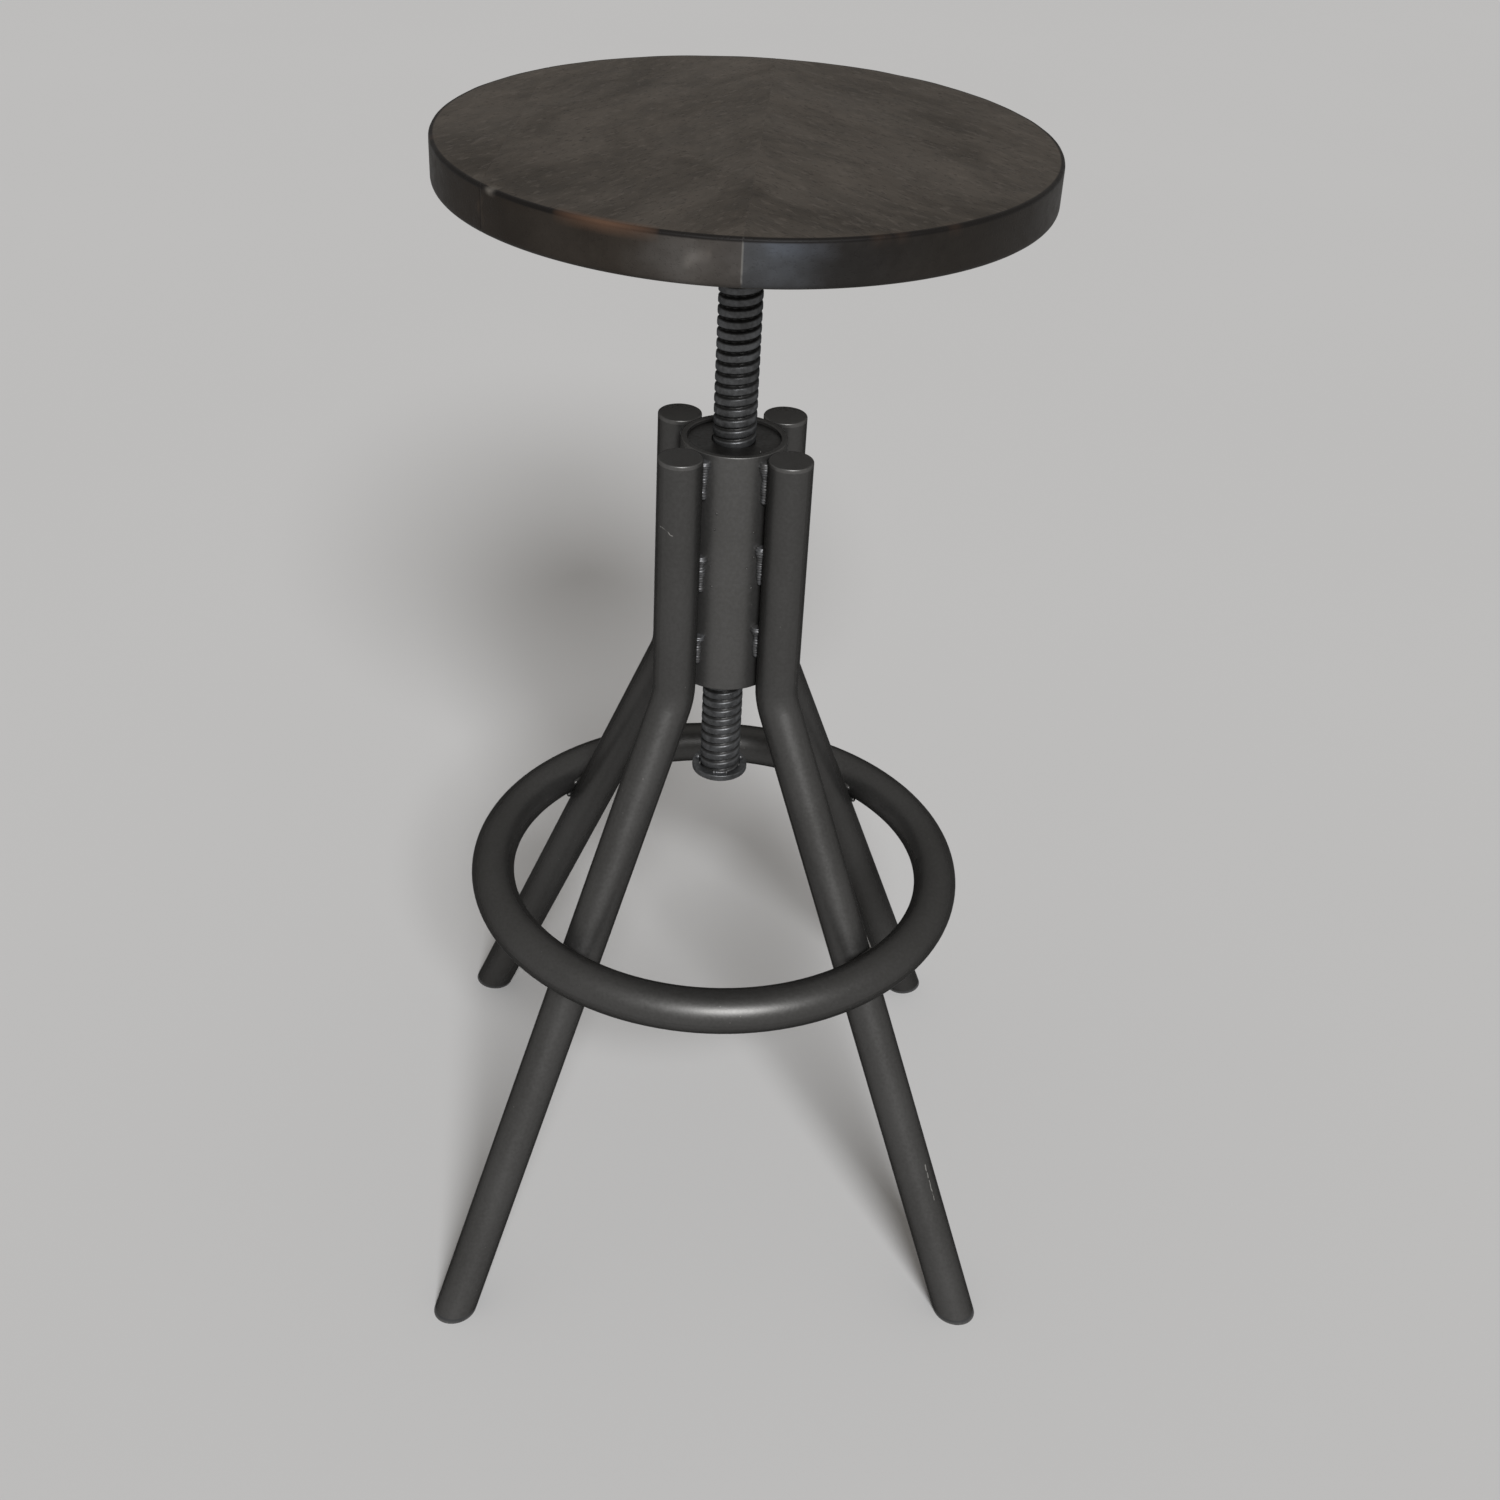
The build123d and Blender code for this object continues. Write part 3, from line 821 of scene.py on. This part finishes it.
def make_thread_tree():
    """Right-hand lead screw of one start, with broad rounded crests and a narrow groove."""
    inputs = {"Foot": 0.316, "Length": 0.363, "Crest Radius": 0.0125, "Pitch": 0.00635}
    inputs |= {"Groove Depth": 0.0017, "Groove Width": 0.003, "Around": 56, "Rings": 800}
    inputs |= {"Unevenness": 0.00038, "Seed": 2.0}
    tree, given, result = new_tree("lead screw", inputs)
    sockets = {
        "Vertices": given["Around"],
        "Side Segments": given["Rings"],
        "Fill Segments": 4,
        "Radius": given["Crest Radius"],
        "Depth": given["Length"],
    }
    bar = first_of(tree, "GeometryNodeMeshCylinder", sockets, fill_type="TRIANGLE_FAN")
    place = first_of(tree, "GeometryNodeInputPosition")
    parts = parts_of(tree, place)
    middle = math_node(tree, "ADD", given["Foot"], times(tree, given["Length"], 0.5))
    up = math_node(tree, "ADD", parts["Z"], middle)
    angle = math_node(tree, "ARCTAN2", parts["Y"], parts["X"])
    turn = math_node(tree, "DIVIDE", angle, 2 * math.pi)
    turns = math_node(tree, "SUBTRACT", math_node(tree, "DIVIDE", up, given["Pitch"]), turn)
    half_groove = times(tree, given["Groove Width"], 0.5)
    groove_share = math_node(tree, "DIVIDE", half_groove, given["Pitch"])
    shifted = math_node(tree, "ADD", math_node(tree, "ADD", turns, groove_share), 0.5)
    from_groove = math_node(tree, "SUBTRACT", math_node(tree, "FRACT", shifted), 0.5)
    off = times(tree, math_node(tree, "ABSOLUTE", from_groove), given["Pitch"])
    flank = span(tree, off, 0.0, times(tree, half_groove, 1.05), 1.0, 0.0)
    from_crest = math_node(tree, "SUBTRACT", times(tree, given["Pitch"], 0.5), off)
    cut = line(tree, flank, given["Groove Depth"], times(tree, from_crest, 0.045))
    rough = noise_node(tree, place, 190.0, 3.0, seed=given["Seed"])[0]
    worn = line(tree, rough, given["Unevenness"], cut)
    share = math_node(tree, "SUBTRACT", 1.0, math_node(tree, "DIVIDE", worn, given["Crest Radius"]))
    sockets = {"X": times(tree, parts["X"], share), "Y": times(tree, parts["Y"], share), "Z": up}
    there = first_of(tree, "ShaderNodeCombineXYZ", sockets)
    moved = first_of(tree, "GeometryNodeSetPosition", {0: bar, "Position": there})
    return end_tree(tree, moved, given["Finish"], result)


def make_screw_circle_tree():
    """Screws, each turned its own way, round a circle."""
    inputs = {"Count": 4, "Circle Radius": 0.05, "Height": 0.679, "Start": math.pi / 4, "Seed": 5}
    tree, given, result = new_tree("screw circle", inputs)
    sockets = {"Vertices": given["Count"], "Radius": given["Circle Radius"]}
    sockets = {
        0: first_of(tree, "GeometryNodeMeshCircle", sockets),
        "Translation": first_of(tree, "ShaderNodeCombineXYZ", {"Z": given["Height"]}),
        "Rotation": first_of(tree, "ShaderNodeCombineXYZ", {"Z": given["Start"]}),
    }
    placed = first_of(tree, "GeometryNodeTransform", sockets)
    turn = random_vector(tree, (0.0, 0.0, 0.0), (0.0, 0.0, 3.1), given["Seed"])
    sockets = {0: placed, "Instance": given["Geometry"], "Rotation": turn}
    spread = first_of(tree, "GeometryNodeInstanceOnPoints", sockets)
    return end_tree(tree, spread, given["Finish"], result)


def node_tree(name):
    """Node tree by name, made the first time that a piece asks for it."""
    makers = {
        "weld bead": make_bead_tree,
        "weld spatter": make_droplet_tree,
        "lead screw": make_thread_tree,
        "screw circle": make_screw_circle_tree,
    }
    return bpy.data.node_groups.get(name) or makers[name]()


# Seat

TOP_RINGS = 34
FOOT_RINGS = 10
RIM_RINGS = 8
ARC_STEPS = 6
JOINT_SHOULDER = 0.0006
RIM_SLACK = 0.0004
EDGE_REACH = 0.0035
RUB_REACH = 0.0065
NICK_REACH = 0.0045
NICK_DEPTH = 0.0013
HOLLOW_DEPTH = 0.00018


def seat_outline(seat):
    """Seat's outline from the middle of its top round the rim to the middle of its underside."""
    inner_top = seat.radius - seat.top_edge
    inner_foot = seat.radius - seat.foot_edge
    high = seat.top - seat.top_edge
    low = seat.foot + seat.foot_edge
    arc = [math.pi / 2 * step / ARC_STEPS for step in range(ARC_STEPS + 1)]
    outline = [(inner_top * step / TOP_RINGS, seat.top) for step in range(TOP_RINGS)]
    for turn in arc:
        outline.append((inner_top + seat.top_edge * math.sin(turn), high + seat.top_edge * math.cos(turn)))
    outline += [(seat.radius, high + (low - high) * step / RIM_RINGS) for step in range(1, RIM_RINGS)]
    for turn in arc:
        outline.append((inner_foot + seat.foot_edge * math.cos(turn), low - seat.foot_edge * math.sin(turn)))
    outline += [(inner_foot * step / FOOT_RINGS, seat.foot) for step in reversed(range(FOOT_RINGS))]
    return outline


def rim_wear(turn):
    """Share of the top edge that is rubbed at a turn round the seat: most on the front left."""
    middle, reach = 115.5, 9.5
    patch = max(0.0, 1.0 - abs(math.degrees(turn) + middle) / reach)
    spots = noise.noise(polar(9.0, turn, 4.0))
    return max(0.8 * patch**0.5, max(0.0, spots - 0.3) * 0.35)


def cut_board(working, seat, low, high):
    """Keep the part of the seat between two glue lines, with its joints dipped a little."""
    across = polar(1.0, seat.grain_turn)
    middle = (seat.top + seat.foot) / 2
    on_rim = seat.radius - RIM_SLACK
    for joint, keep in ((low, 1), (high, -1)):
        if joint is None:
            continue
        for shoulder in (keep * JOINT_SHOULDER, 0.0):
            cut = bmesh.ops.bisect_plane(
                working,
                geom=working.verts[:] + working.edges[:] + working.faces[:],
                plane_co=across * (joint + shoulder),
                plane_no=across,
                clear_inner=keep > 0 and not shoulder,
                clear_outer=keep < 0 and not shoulder,
            )
        edges = [edge for edge in cut["geom_cut"] if isinstance(edge, bmesh.types.BMEdge)]
        for corner in {corner for edge in edges for corner in edge.verts}:
            outwards = Vector((corner.co.x, corner.co.y, 0.0))
            if outwards.length > on_rim:
                corner.co -= outwards.normalized() * seat.joint_dip
            else:
                corner.co.z -= math.copysign(seat.joint_dip, corner.co.z - middle)
        bmesh.ops.holes_fill(working, edges=edges, sides=0)
    bmesh.ops.recalc_face_normals(working, faces=working.faces)


def wear_board(working, seat, number):
    """Uneven worn top edge, a nick by the left joint, and the marks that the finish reads."""
    rub, board, chipped = (working.verts.layers.float.new(name) for name in ("rub", "board", "nick"))
    for corner in working.verts:
        flat = corner.co.xy
        below = seat.top - corner.co.z
        near_edge = max(0.0, 1.0 - (seat.radius - flat.length) / EDGE_REACH)
        near_top = max(0.0, 1.0 - below / EDGE_REACH)
        edge = near_edge * near_top
        rubbed = rim_wear(math.atan2(flat.y, flat.x)) * min(1.0, near_edge * 1.6)
        chip = max(0.0, 1.0 - (flat - NICK).length / NICK_REACH) * near_top
        corner[board] = number
        corner[rub] = min(1.0, rubbed * max(0.0, 1.0 - below / RUB_REACH))
        corner[chipped] = chip
        wave = noise.noise(Vector((flat.x * 60.0, flat.y * 60.0, 1.0)))
        hollow = noise.noise(Vector((flat.x * 11.0, flat.y * 11.0, 7.0)))
        worn = edge * (0.5 + 0.5 * wave) * seat.edge_wear
        if flat.length > 1e-6:
            corner.co -= Vector((flat.x, flat.y, 0.0)).normalized() * worn
        corner.co.z -= worn + chip * NICK_DEPTH + near_top * (0.5 + 0.5 * hollow) * HOLLOW_DEPTH


class StoolMakeSeat(bpy.types.Operator):
    """Make the three boards of the seat"""

    bl_idname = "stool.make_seat"
    bl_label = "Seat Boards"

    def execute(self, context):
        seat = context.scene.stool_seat
        joints = (None, seat.left_joint, seat.right_joint, None)
        for number, name in enumerate(BOARDS):
            working = turned(seat_outline(seat), SEAT_SIDES, False)
            cut_board(working, seat, joints[number], joints[number + 1])
            wear_board(working, seat, number)
            piece = mesh_piece(name.replace("seat_plank", "seat_board"), working, "stained wood", BOARD_SHARP)
            place_piece(piece, "seat", "seat_wood", name)
        return {"FINISHED"}


def plate_screw(screw):
    """Countersunk cross-head screw, head down at the origin."""
    cross_depth, cross_half, cross_flank = 0.0022, 0.00085, 0.00035
    cross_reach = screw.screw_head * 0.62
    flat, lip, rings = screw.screw_head * 0.97, 0.0002, 16
    shank, taper = screw.screw_head / 2, screw.screw_length * 0.8
    cone = (screw.screw_head - shank) / math.tan(math.radians(41.0))
    outline = [(flat * step / rings, 0.0) for step in range(rings + 1)]
    outline += [(screw.screw_head, lip), (shank, cone), (shank, taper), (0.0, screw.screw_length)]
    working = turned(outline, SCREW_SIDES, False)
    for corner in working.verts:
        if corner.co.z > 1e-6:
            continue
        thin, far = sorted((abs(corner.co.x), abs(corner.co.y)))
        reach = max(0.0, 1.0 - far / cross_reach)
        within = max(0.0, min(1.0, (cross_half - thin) / cross_flank))
        corner.co.z += cross_depth * within * min(1.0, reach * 2.2)
    return working


class StoolMakePlate(bpy.types.Operator):
    """Finish the plate under the seat and make its screws"""

    bl_idname = "stool.make_plate"
    bl_label = "Seat Plate and Screws"

    def execute(self, context):
        screw = context.scene.stool_screw
        dress("seat_plate", "gunmetal lacquer")
        mesh = plain_mesh("seat_screws_one", plate_screw(screw))
        values = {
            "Circle Radius": screw.screw_circle,
            "Height": plate_low.z,
            "Start": math.pi / 4,
            "Finish": finish_of("fixing steel"),
        }
        piece = grown("plate_screws", mesh, node_tree("screw circle"), values)
        piece.data.set_sharp_from_angle(angle=SHARP)
        place_piece(piece, "seat", "screw_steel", "seat_screws")
        return {"FINISHED"}


# Lead screw

STOP_FIT = 0.0003
BORE_EDGE = 0.0002
WELD_STEPS = 72
WELD_LIFT = 0.0022
# Tacks in degrees: where each is, from its middle to its ends, along an end, and along its thin middle
TACK_ANGLES = (-90.0, 30.0, 150.0)
TACK_REACH, TACK_END, TACK_THIN = 20.0, 9.0, 13.0
TACK_POINTS = 9
TACK_RADIUS = 0.0014


def round_run(radius, height, start, end, widths):
    """Guide points on a level arc between two angles, with the thickness at each."""
    run = []
    for step in range(len(widths)):
        turn = math.radians(start + (end - start) * step / (len(widths) - 1))
        run.append(polar(radius, turn, height))
    return run, widths, False


def end_taper(points, blunt=0.35):
    """Thickness along a bead that rounds off at both ends."""
    widths = []
    for step in range(points):
        share = step / (points - 1)
        ends = min(1.0, min(share, 1.0 - share) / blunt)
        widths.append(max(0.04, math.sqrt(max(0.0, 1.0 - (1.0 - ends) ** 2))))
    return widths


def bead_piece(name, runs, radius, seed, ripple=0.0017, height=0.0006, rough=0.0012, finish="weld metal"):
    """Weld beads along guide runs."""
    values = {
        "Bead Radius": radius,
        "Ripple Length": ripple,
        "Ripple Height": height,
        "Unevenness": rough,
        "Seed": seed,
        "Finish": finish_of(finish),
    }
    return grown(name, guide_mesh(name, runs), node_tree("weld bead"), values)


class StoolMakeScrew(bpy.types.Operator):
    """Make the lead screw and the weld that holds it to the plate"""

    bl_idname = "stool.make_screw"
    bl_label = "Lead Screw"

    def execute(self, context):
        screw = context.scene.stool_screw
        tall = screw_high.z - screw_low.z
        start = bpy.data.meshes.new("lead_screw_start")
        start.from_pydata([(0.0, 0.0, screw_low.z)], [], [])
        values = {
            "Foot": screw_low.z,
            "Length": tall,
            "Crest Radius": screw_high.x,
            "Pitch": screw.pitch,
            "Groove Depth": screw.depth,
            "Groove Width": screw.groove,
            "Around": screw.around,
            "Rings": round(tall / screw.pitch * screw.rings),
            "Finish": finish_of("blackened screw steel"),
        }
        piece = grown("lead_screw", start, node_tree("lead screw"), values)
        piece.data.set_sharp_from_angle(angle=THREAD_SHARP)
        place_piece(piece, "seat", "spindle_steel", "spindle")
        radius, height = screw_high.x + WELD_LIFT, plate_low.z - WELD_LIFT
        turns = [2 * math.pi * step / WELD_STEPS for step in range(WELD_STEPS)]
        runs = [([polar(radius, turn, height) for turn in turns], [1.0] * WELD_STEPS, True)]
        # The weld under the plate gets the near-black bush steel: painted shade under the seat
        shaded_weld = {"seed": 4.0, "height": 0.0007, "finish": "oily bush steel"}
        weld = bead_piece("screw_weld", runs, screw.weld, **shaded_weld)
        place_piece(weld, "seat", "weld_metal", "spindle_weld")
        return {"FINISHED"}


class StoolMakeStop(bpy.types.Operator):
    """Make the stop washer and its tack welds"""

    bl_idname = "stool.make_stop"
    bl_label = "Stop Washer"

    def execute(self, context):
        screw = context.scene.stool_screw
        bore, rim = screw_high.x + STOP_FIT, stop_high.x
        top, foot = stop_high.z, stop_low.z
        corners = (
            (bore, top, BORE_EDGE),
            (rim, top, screw.stop_edge),
            (rim, foot, screw.stop_edge * 1.6),
            (bore, foot, BORE_EDGE),
        )
        piece = mesh_piece("stop_ring", turned(eased(corners), STOP_SIDES, True), "blackened screw steel")
        place_piece(piece, "stop", "spindle_steel", "stop_washer")
        runs = []
        for middle in TACK_ANGLES:
            for side in (-1, 1):
                start = middle + side * TACK_REACH
                end = start - side * TACK_END
                runs.append(round_run(bore + 0.0011, top + 0.0006, start, end, end_taper(TACK_POINTS, 0.5)))
            start, end = middle - TACK_THIN, middle + TACK_THIN
            runs.append(round_run(bore + 0.0003, top + 0.0002, start, end, [0.55] * TACK_POINTS))
        small = {"seed": 8.0, "ripple": 0.0012, "height": 0.0003, "rough": 0.0008}
        tacks = bead_piece("stop_tacks", runs, TACK_RADIUS, **small)
        place_piece(tacks, "stop", "weld_metal", "stop_welds")
        return {"FINISHED"}


# Frame

# Slip and share of the length of each stitch, on either side of a leg
STITCH_SLIPS = {-1: (0.0, 0.0020, 0.0040), 1: (0.0, -0.0050, -0.0030)}
STITCH_SHARES = {-1: (1.08, 1.04, 0.88), 1: (1.0, 0.96, 0.8)}
STITCH_POINTS = 26
STITCH_WOBBLE = 0.0007
RING_POINTS = 17
# Shares of a leg's roundness that a ring weld follows, inwards and along the leg
ROUND_IN, ROUND_ALONG = 0.45, 0.3
BEND_BELOW_HUB = 0.004
JOINT_GAP = 0.0002
SPATTER = 34


class StoolMakeHub(bpy.types.Operator):
    """Make the hub tube and finish its threaded bushes"""

    bl_idname = "stool.make_hub"
    bl_label = "Hub"

    def execute(self, context):
        parts = context.scene.stool_frame
        outer = hub_high.x
        inner = outer - parts.hub_wall
        corners = ((inner, hub_high.z), (outer, hub_high.z), (outer, hub_low.z), (inner, hub_low.z))
        outline = eased([(*corner, parts.hub_edge) for corner in corners])
        # The hub's lacquer is painted paler: painted light
        piece = mesh_piece("hub", turned(outline, HUB_SIDES, True), "hub lacquer")
        place_piece(piece, "frame", "frame_paint", "hub_tube")
        # The bushes are painted near black: painted shade inside the hub
        for name in ("upper_nut", "lower_nut"):
            dress(name, "oily bush steel")
        return {"FINISHED"}


class StoolMakeLegs(bpy.types.Operator):
    """Finish the legs, and make the caps that close their tops"""

    bl_idname = "stool.make_legs"
    bl_label = "Legs and Caps"

    def execute(self, context):
        parts = context.scene.stool_frame
        corners = (
            (0.0, cap_high.z, 0.0),
            (leg_radius, cap_high.z, parts.cap_edge),
            (leg_radius, cap_low.z, 0.0),
            (0.0, cap_low.z, 0.0),
        )
        for place, angle in zip(PLACES, LEG_ANGLES):
            dress(f"leg_{place}", "gunmetal lacquer")
            dress(f"foot_plug_{place}", "foot plastic")
            working = turned(eased(corners, 6), CAP_SIDES, False)
            there = polar(leg_circle, math.radians(angle))
            bmesh.ops.translate(working, verts=working.verts, vec=there)
            # The caps' lacquer is painted paler: painted light
            cap = mesh_piece(f"cap_{place}", working, "cap lacquer")
            place_piece(cap, "frame", "frame_paint", f"leg_cap_{place}")
        return {"FINISHED"}


class StoolMakeRing(bpy.types.Operator):
    """Finish the foot ring"""

    bl_idname = "stool.make_ring"
    bl_label = "Foot Ring"

    def execute(self, context):
        dress("foot_ring", "gunmetal lacquer")
        return {"FINISHED"}


def leg_ways():
    """Each leg's angle, its way out from the middle and its way round."""
    for angle in LEG_ANGLES:
        forth = polar(1.0, math.radians(angle))
        yield angle, forth, Vector((-forth.y, forth.x, 0.0))


def hub_runs(parts):
    """Guide runs of the stitches in the two corners between each leg and the hub."""
    from_hub = hub_high.x + parts.bead_lift
    from_leg = leg_radius + parts.bead_lift
    out = (leg_circle**2 + from_hub**2 - from_leg**2) / (2 * leg_circle)
    side = math.sqrt(from_hub**2 - out**2)
    runs = []
    for angle, forth, sideways in leg_ways():
        for hand in (-1, 1):
            for stitch, (slip, share) in enumerate(zip(STITCH_SLIPS[hand], STITCH_SHARES[hand])):
                top = hub_high.z - parts.stitch_end - stitch * parts.stitch_pitch + slip
                run = []
                widths = end_taper(STITCH_POINTS, 0.1)
                for step in range(STITCH_POINTS):
                    done = step / (STITCH_POINTS - 1)
                    up = top - parts.stitch_length * share * done
                    wobble = noise.noise(Vector((up * 130.0, angle, hand * 3.0))) * STITCH_WOBBLE
                    run.append(forth * (out + wobble) + sideways * hand * side + Vector((0.0, 0.0, up)))
                    lump = noise.noise(Vector((up * 170.0, angle + 7.0, hand * 5.0)))
                    start_blob = 0.42 * math.exp(-((step - 3) ** 2) / 6.0)
                    widths[step] *= 0.86 - 0.24 * done + 0.4 * lump + start_blob
                runs.append((run, widths, False))
    return runs


def ring_runs(parts):
    """Guide runs of the welds above and below each place where a leg meets the foot ring."""
    ring_radius = (ring_high.z - ring_low.z) / 2
    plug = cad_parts["foot_plug_front_right"].data.vertices
    level = [corner.co for corner in plug if corner.co.z < 1e-5]
    foot_reach = sum(math.hypot(there.x, there.y) for there in level) / len(level)
    slope = math.atan2(foot_reach - leg_circle, hub_low.z - BEND_BELOW_HUB)
    inwards = ring_radius + JOINT_GAP - parts.bead_lift
    touch_out = ring_high.x - ring_radius - inwards * math.cos(slope)
    touch_up = (ring_high.z + ring_low.z) / 2 - inwards * math.sin(slope)
    along = math.sqrt((ring_radius + parts.bead_lift) ** 2 - inwards**2)
    runs = []
    for _, forth, sideways in leg_ways():
        for hand in (-1, 1):
            out = touch_out - hand * along * math.sin(slope)
            up = touch_up + hand * along * math.cos(slope)
            run = []
            for step in range(RING_POINTS):
                aside = parts.ring_stitch * (step / (RING_POINTS - 1) - 0.5)
                drop = leg_radius - math.sqrt(leg_radius**2 - aside**2)
                there = forth * (out - ROUND_IN * drop * math.cos(slope)) + sideways * aside
                there.z += up - hand * ROUND_ALONG * drop - ROUND_IN * drop * math.sin(slope)
                run.append(there)
            runs.append((run, end_taper(RING_POINTS, 0.2), False))
    return runs


def spatter_points():
    """Places of weld spatter on the upper bush and on the hub."""
    on_bush, highest, lowest = hub_high.z - 0.0018, hub_high.z - 0.002, hub_low.z + 0.004
    spots = [(-0.0109, 0.0197, on_bush), (0.0140, -0.0175, on_bush)]
    for number in range(SPATTER):
        hand = -1 if number % 8 < 4 else 1
        aside = 24.0 + 9.0 * noise.noise(Vector((number * 1.7, 0.3, 0.0)))
        turn = math.radians(LEG_ANGLES[number % 4] + hand * aside)
        up = hub_high.z - 0.07 + 0.066 * noise.noise(Vector((number * 2.3, 5.1, 0.0))) * 1.6
        spots.append(polar(hub_high.x, turn, min(highest, max(lowest, up))))
    return spots


class StoolMakeWelds(bpy.types.Operator):
    """Make the welds and spatter that hold the frame together"""

    bl_idname = "stool.make_welds"
    bl_label = "Frame Welds"

    def execute(self, context):
        parts = context.scene.stool_frame
        proud = {"seed": 1.0, "ripple": parts.ripple, "height": 0.0008}
        stitches = bead_piece("hub_stitches", hub_runs(parts), parts.bead, **proud)
        place_piece(stitches, "frame", "weld_metal", "hub_welds")
        flat = {"seed": 2.0, "ripple": parts.ripple, "height": 0.0002, "rough": 0.0004}
        joins = bead_piece("ring_joins", ring_runs(parts), parts.ring_bead, finish="gunmetal lacquer", **flat)
        place_piece(joins, "frame", "weld_metal", "ring_welds")
        mesh = bpy.data.meshes.new("hub_spatter")
        mesh.from_pydata(spatter_points(), [], [])
        values = {"Finish": finish_of("hub lacquer")}
        drops = grown("hub_spatter", mesh, node_tree("weld spatter"), values)
        place_piece(drops, "frame", "weld_metal")
        return {"FINISHED"}


# Stage


def make_world(stage):
    """Even light all round, and a plain surround where it is seen or mirrored."""
    world = bpy.data.worlds.new("studio")
    world.use_nodes = True
    tree = world.node_tree
    tree.nodes.clear()
    kind = "ShaderNodeBackground"
    light = first_of(tree, kind, {"Color": (*stage.fill_tint, 1.0), "Strength": stage.fill})
    seen = first_of(tree, kind, {"Color": (*stage.surround, 1.0), "Strength": 1.0})
    path = node(tree, "ShaderNodeLightPath").outputs
    shown = math_node(tree, "MAXIMUM", path["Is Camera Ray"], path["Is Glossy Ray"])
    shown = math_node(tree, "MAXIMUM", shown, path["Is Transmission Ray"])
    both = first_of(tree, "ShaderNodeMixShader", {0: shown, 1: light, 2: seen})
    node(tree, "ShaderNodeOutputWorld", {"Surface": both})
    return world


def view_matrix(stage):
    """Place and turn of the camera."""
    forth = polar(math.cos(stage.pitch), math.pi / 2 - stage.yaw, math.sin(stage.pitch))
    right = forth.cross(Vector((0.0, 0.0, 1.0))).normalized()
    up = right.cross(forth)
    rolled = right * math.cos(stage.roll) + up * math.sin(stage.roll)
    upright = up * math.cos(stage.roll) - right * math.sin(stage.roll)
    return Matrix.Translation(stage.eye) @ Matrix((rolled, upright, -forth)).transposed().to_4x4()


class StoolMakeStage(bpy.types.Operator):
    """Make the floor, the light and the camera"""

    bl_idname = "stool.make_stage"
    bl_label = "Stage"

    def execute(self, context):
        scene = context.scene
        stage = scene.stool_stage
        scene.view_settings.view_transform = "Standard"
        mesh = bpy.data.meshes.new("floor")
        corners = [(x * stage.half, y * stage.half, 0) for x, y in ((-1, -1), (1, -1), (1, 1), (-1, 1))]
        mesh.from_pydata(corners, [], [(0, 1, 2, 3)])
        mesh.materials.append(finish_of("pale floor"))
        floor = linked("floor", mesh)

        lens = bpy.data.cameras.new("camera")
        lens.lens = stage.lens
        lens.sensor_width = 36.0
        lens.clip_start = 0.01
        scene.camera = linked("camera", lens)
        scene.camera.matrix_world = view_matrix(stage)

        lamp = bpy.data.lights.new("key", "SUN")
        lamp.energy = stage.key
        lamp.color = stage.key_tint
        lamp.angle = stage.key_spread
        key = linked("key", lamp)
        key.rotation_euler = Vector(stage.key_from).to_track_quat("Z", "Y").to_euler()
        scene.world = make_world(stage)
        return {"FINISHED"}


class StoolPanel(bpy.types.Panel):
    """Settings and steps of the stool"""

    bl_idname = "VIEW3D_PT_stool"
    bl_label = "Screw Stool"
    bl_space_type = "VIEW_3D"
    bl_region_type = "UI"
    bl_category = "Stool"

    def draw(self, context):
        for settings in SETTINGS:
            box = self.layout.box()
            group = getattr(context.scene, settings)
            for name in group.bl_rna.properties.keys():
                if name not in {"rna_type", "name"}:
                    box.prop(group, name)
        for step in STEPS:
            self.layout.operator(step.bl_idname)


GROUPS = (StoolSeat, StoolScrew, StoolFrame, StoolStage)
SETTINGS = ("stool_seat", "stool_screw", "stool_frame", "stool_stage")
STEPS = (
    StoolMakeStage,
    StoolMakeSeat,
    StoolMakePlate,
    StoolMakeScrew,
    StoolMakeStop,
    StoolMakeHub,
    StoolMakeLegs,
    StoolMakeRing,
    StoolMakeWelds,
)


def register():
    """Add the settings, the steps and the panel."""
    for group, settings in zip(GROUPS, SETTINGS):
        bpy.utils.register_class(group)
        setattr(bpy.types.Scene, settings, PointerProperty(type=group))
    for step in STEPS:
        bpy.utils.register_class(step)
    bpy.utils.register_class(StoolPanel)


def unregister():
    """Take away what register added."""
    bpy.utils.unregister_class(StoolPanel)
    for step in reversed(STEPS):
        bpy.utils.unregister_class(step)
    for group, settings in zip(GROUPS, SETTINGS):
        delattr(bpy.types.Scene, settings)
        bpy.utils.unregister_class(group)


def main():
    """Run every step in order."""
    register()
    bpy.ops.stool.make_stage()
    bpy.ops.stool.make_seat()
    bpy.ops.stool.make_plate()
    bpy.ops.stool.make_screw()
    bpy.ops.stool.make_stop()
    bpy.ops.stool.make_hub()
    bpy.ops.stool.make_legs()
    bpy.ops.stool.make_ring()
    bpy.ops.stool.make_welds()


if __name__ == "__main__":
    main()
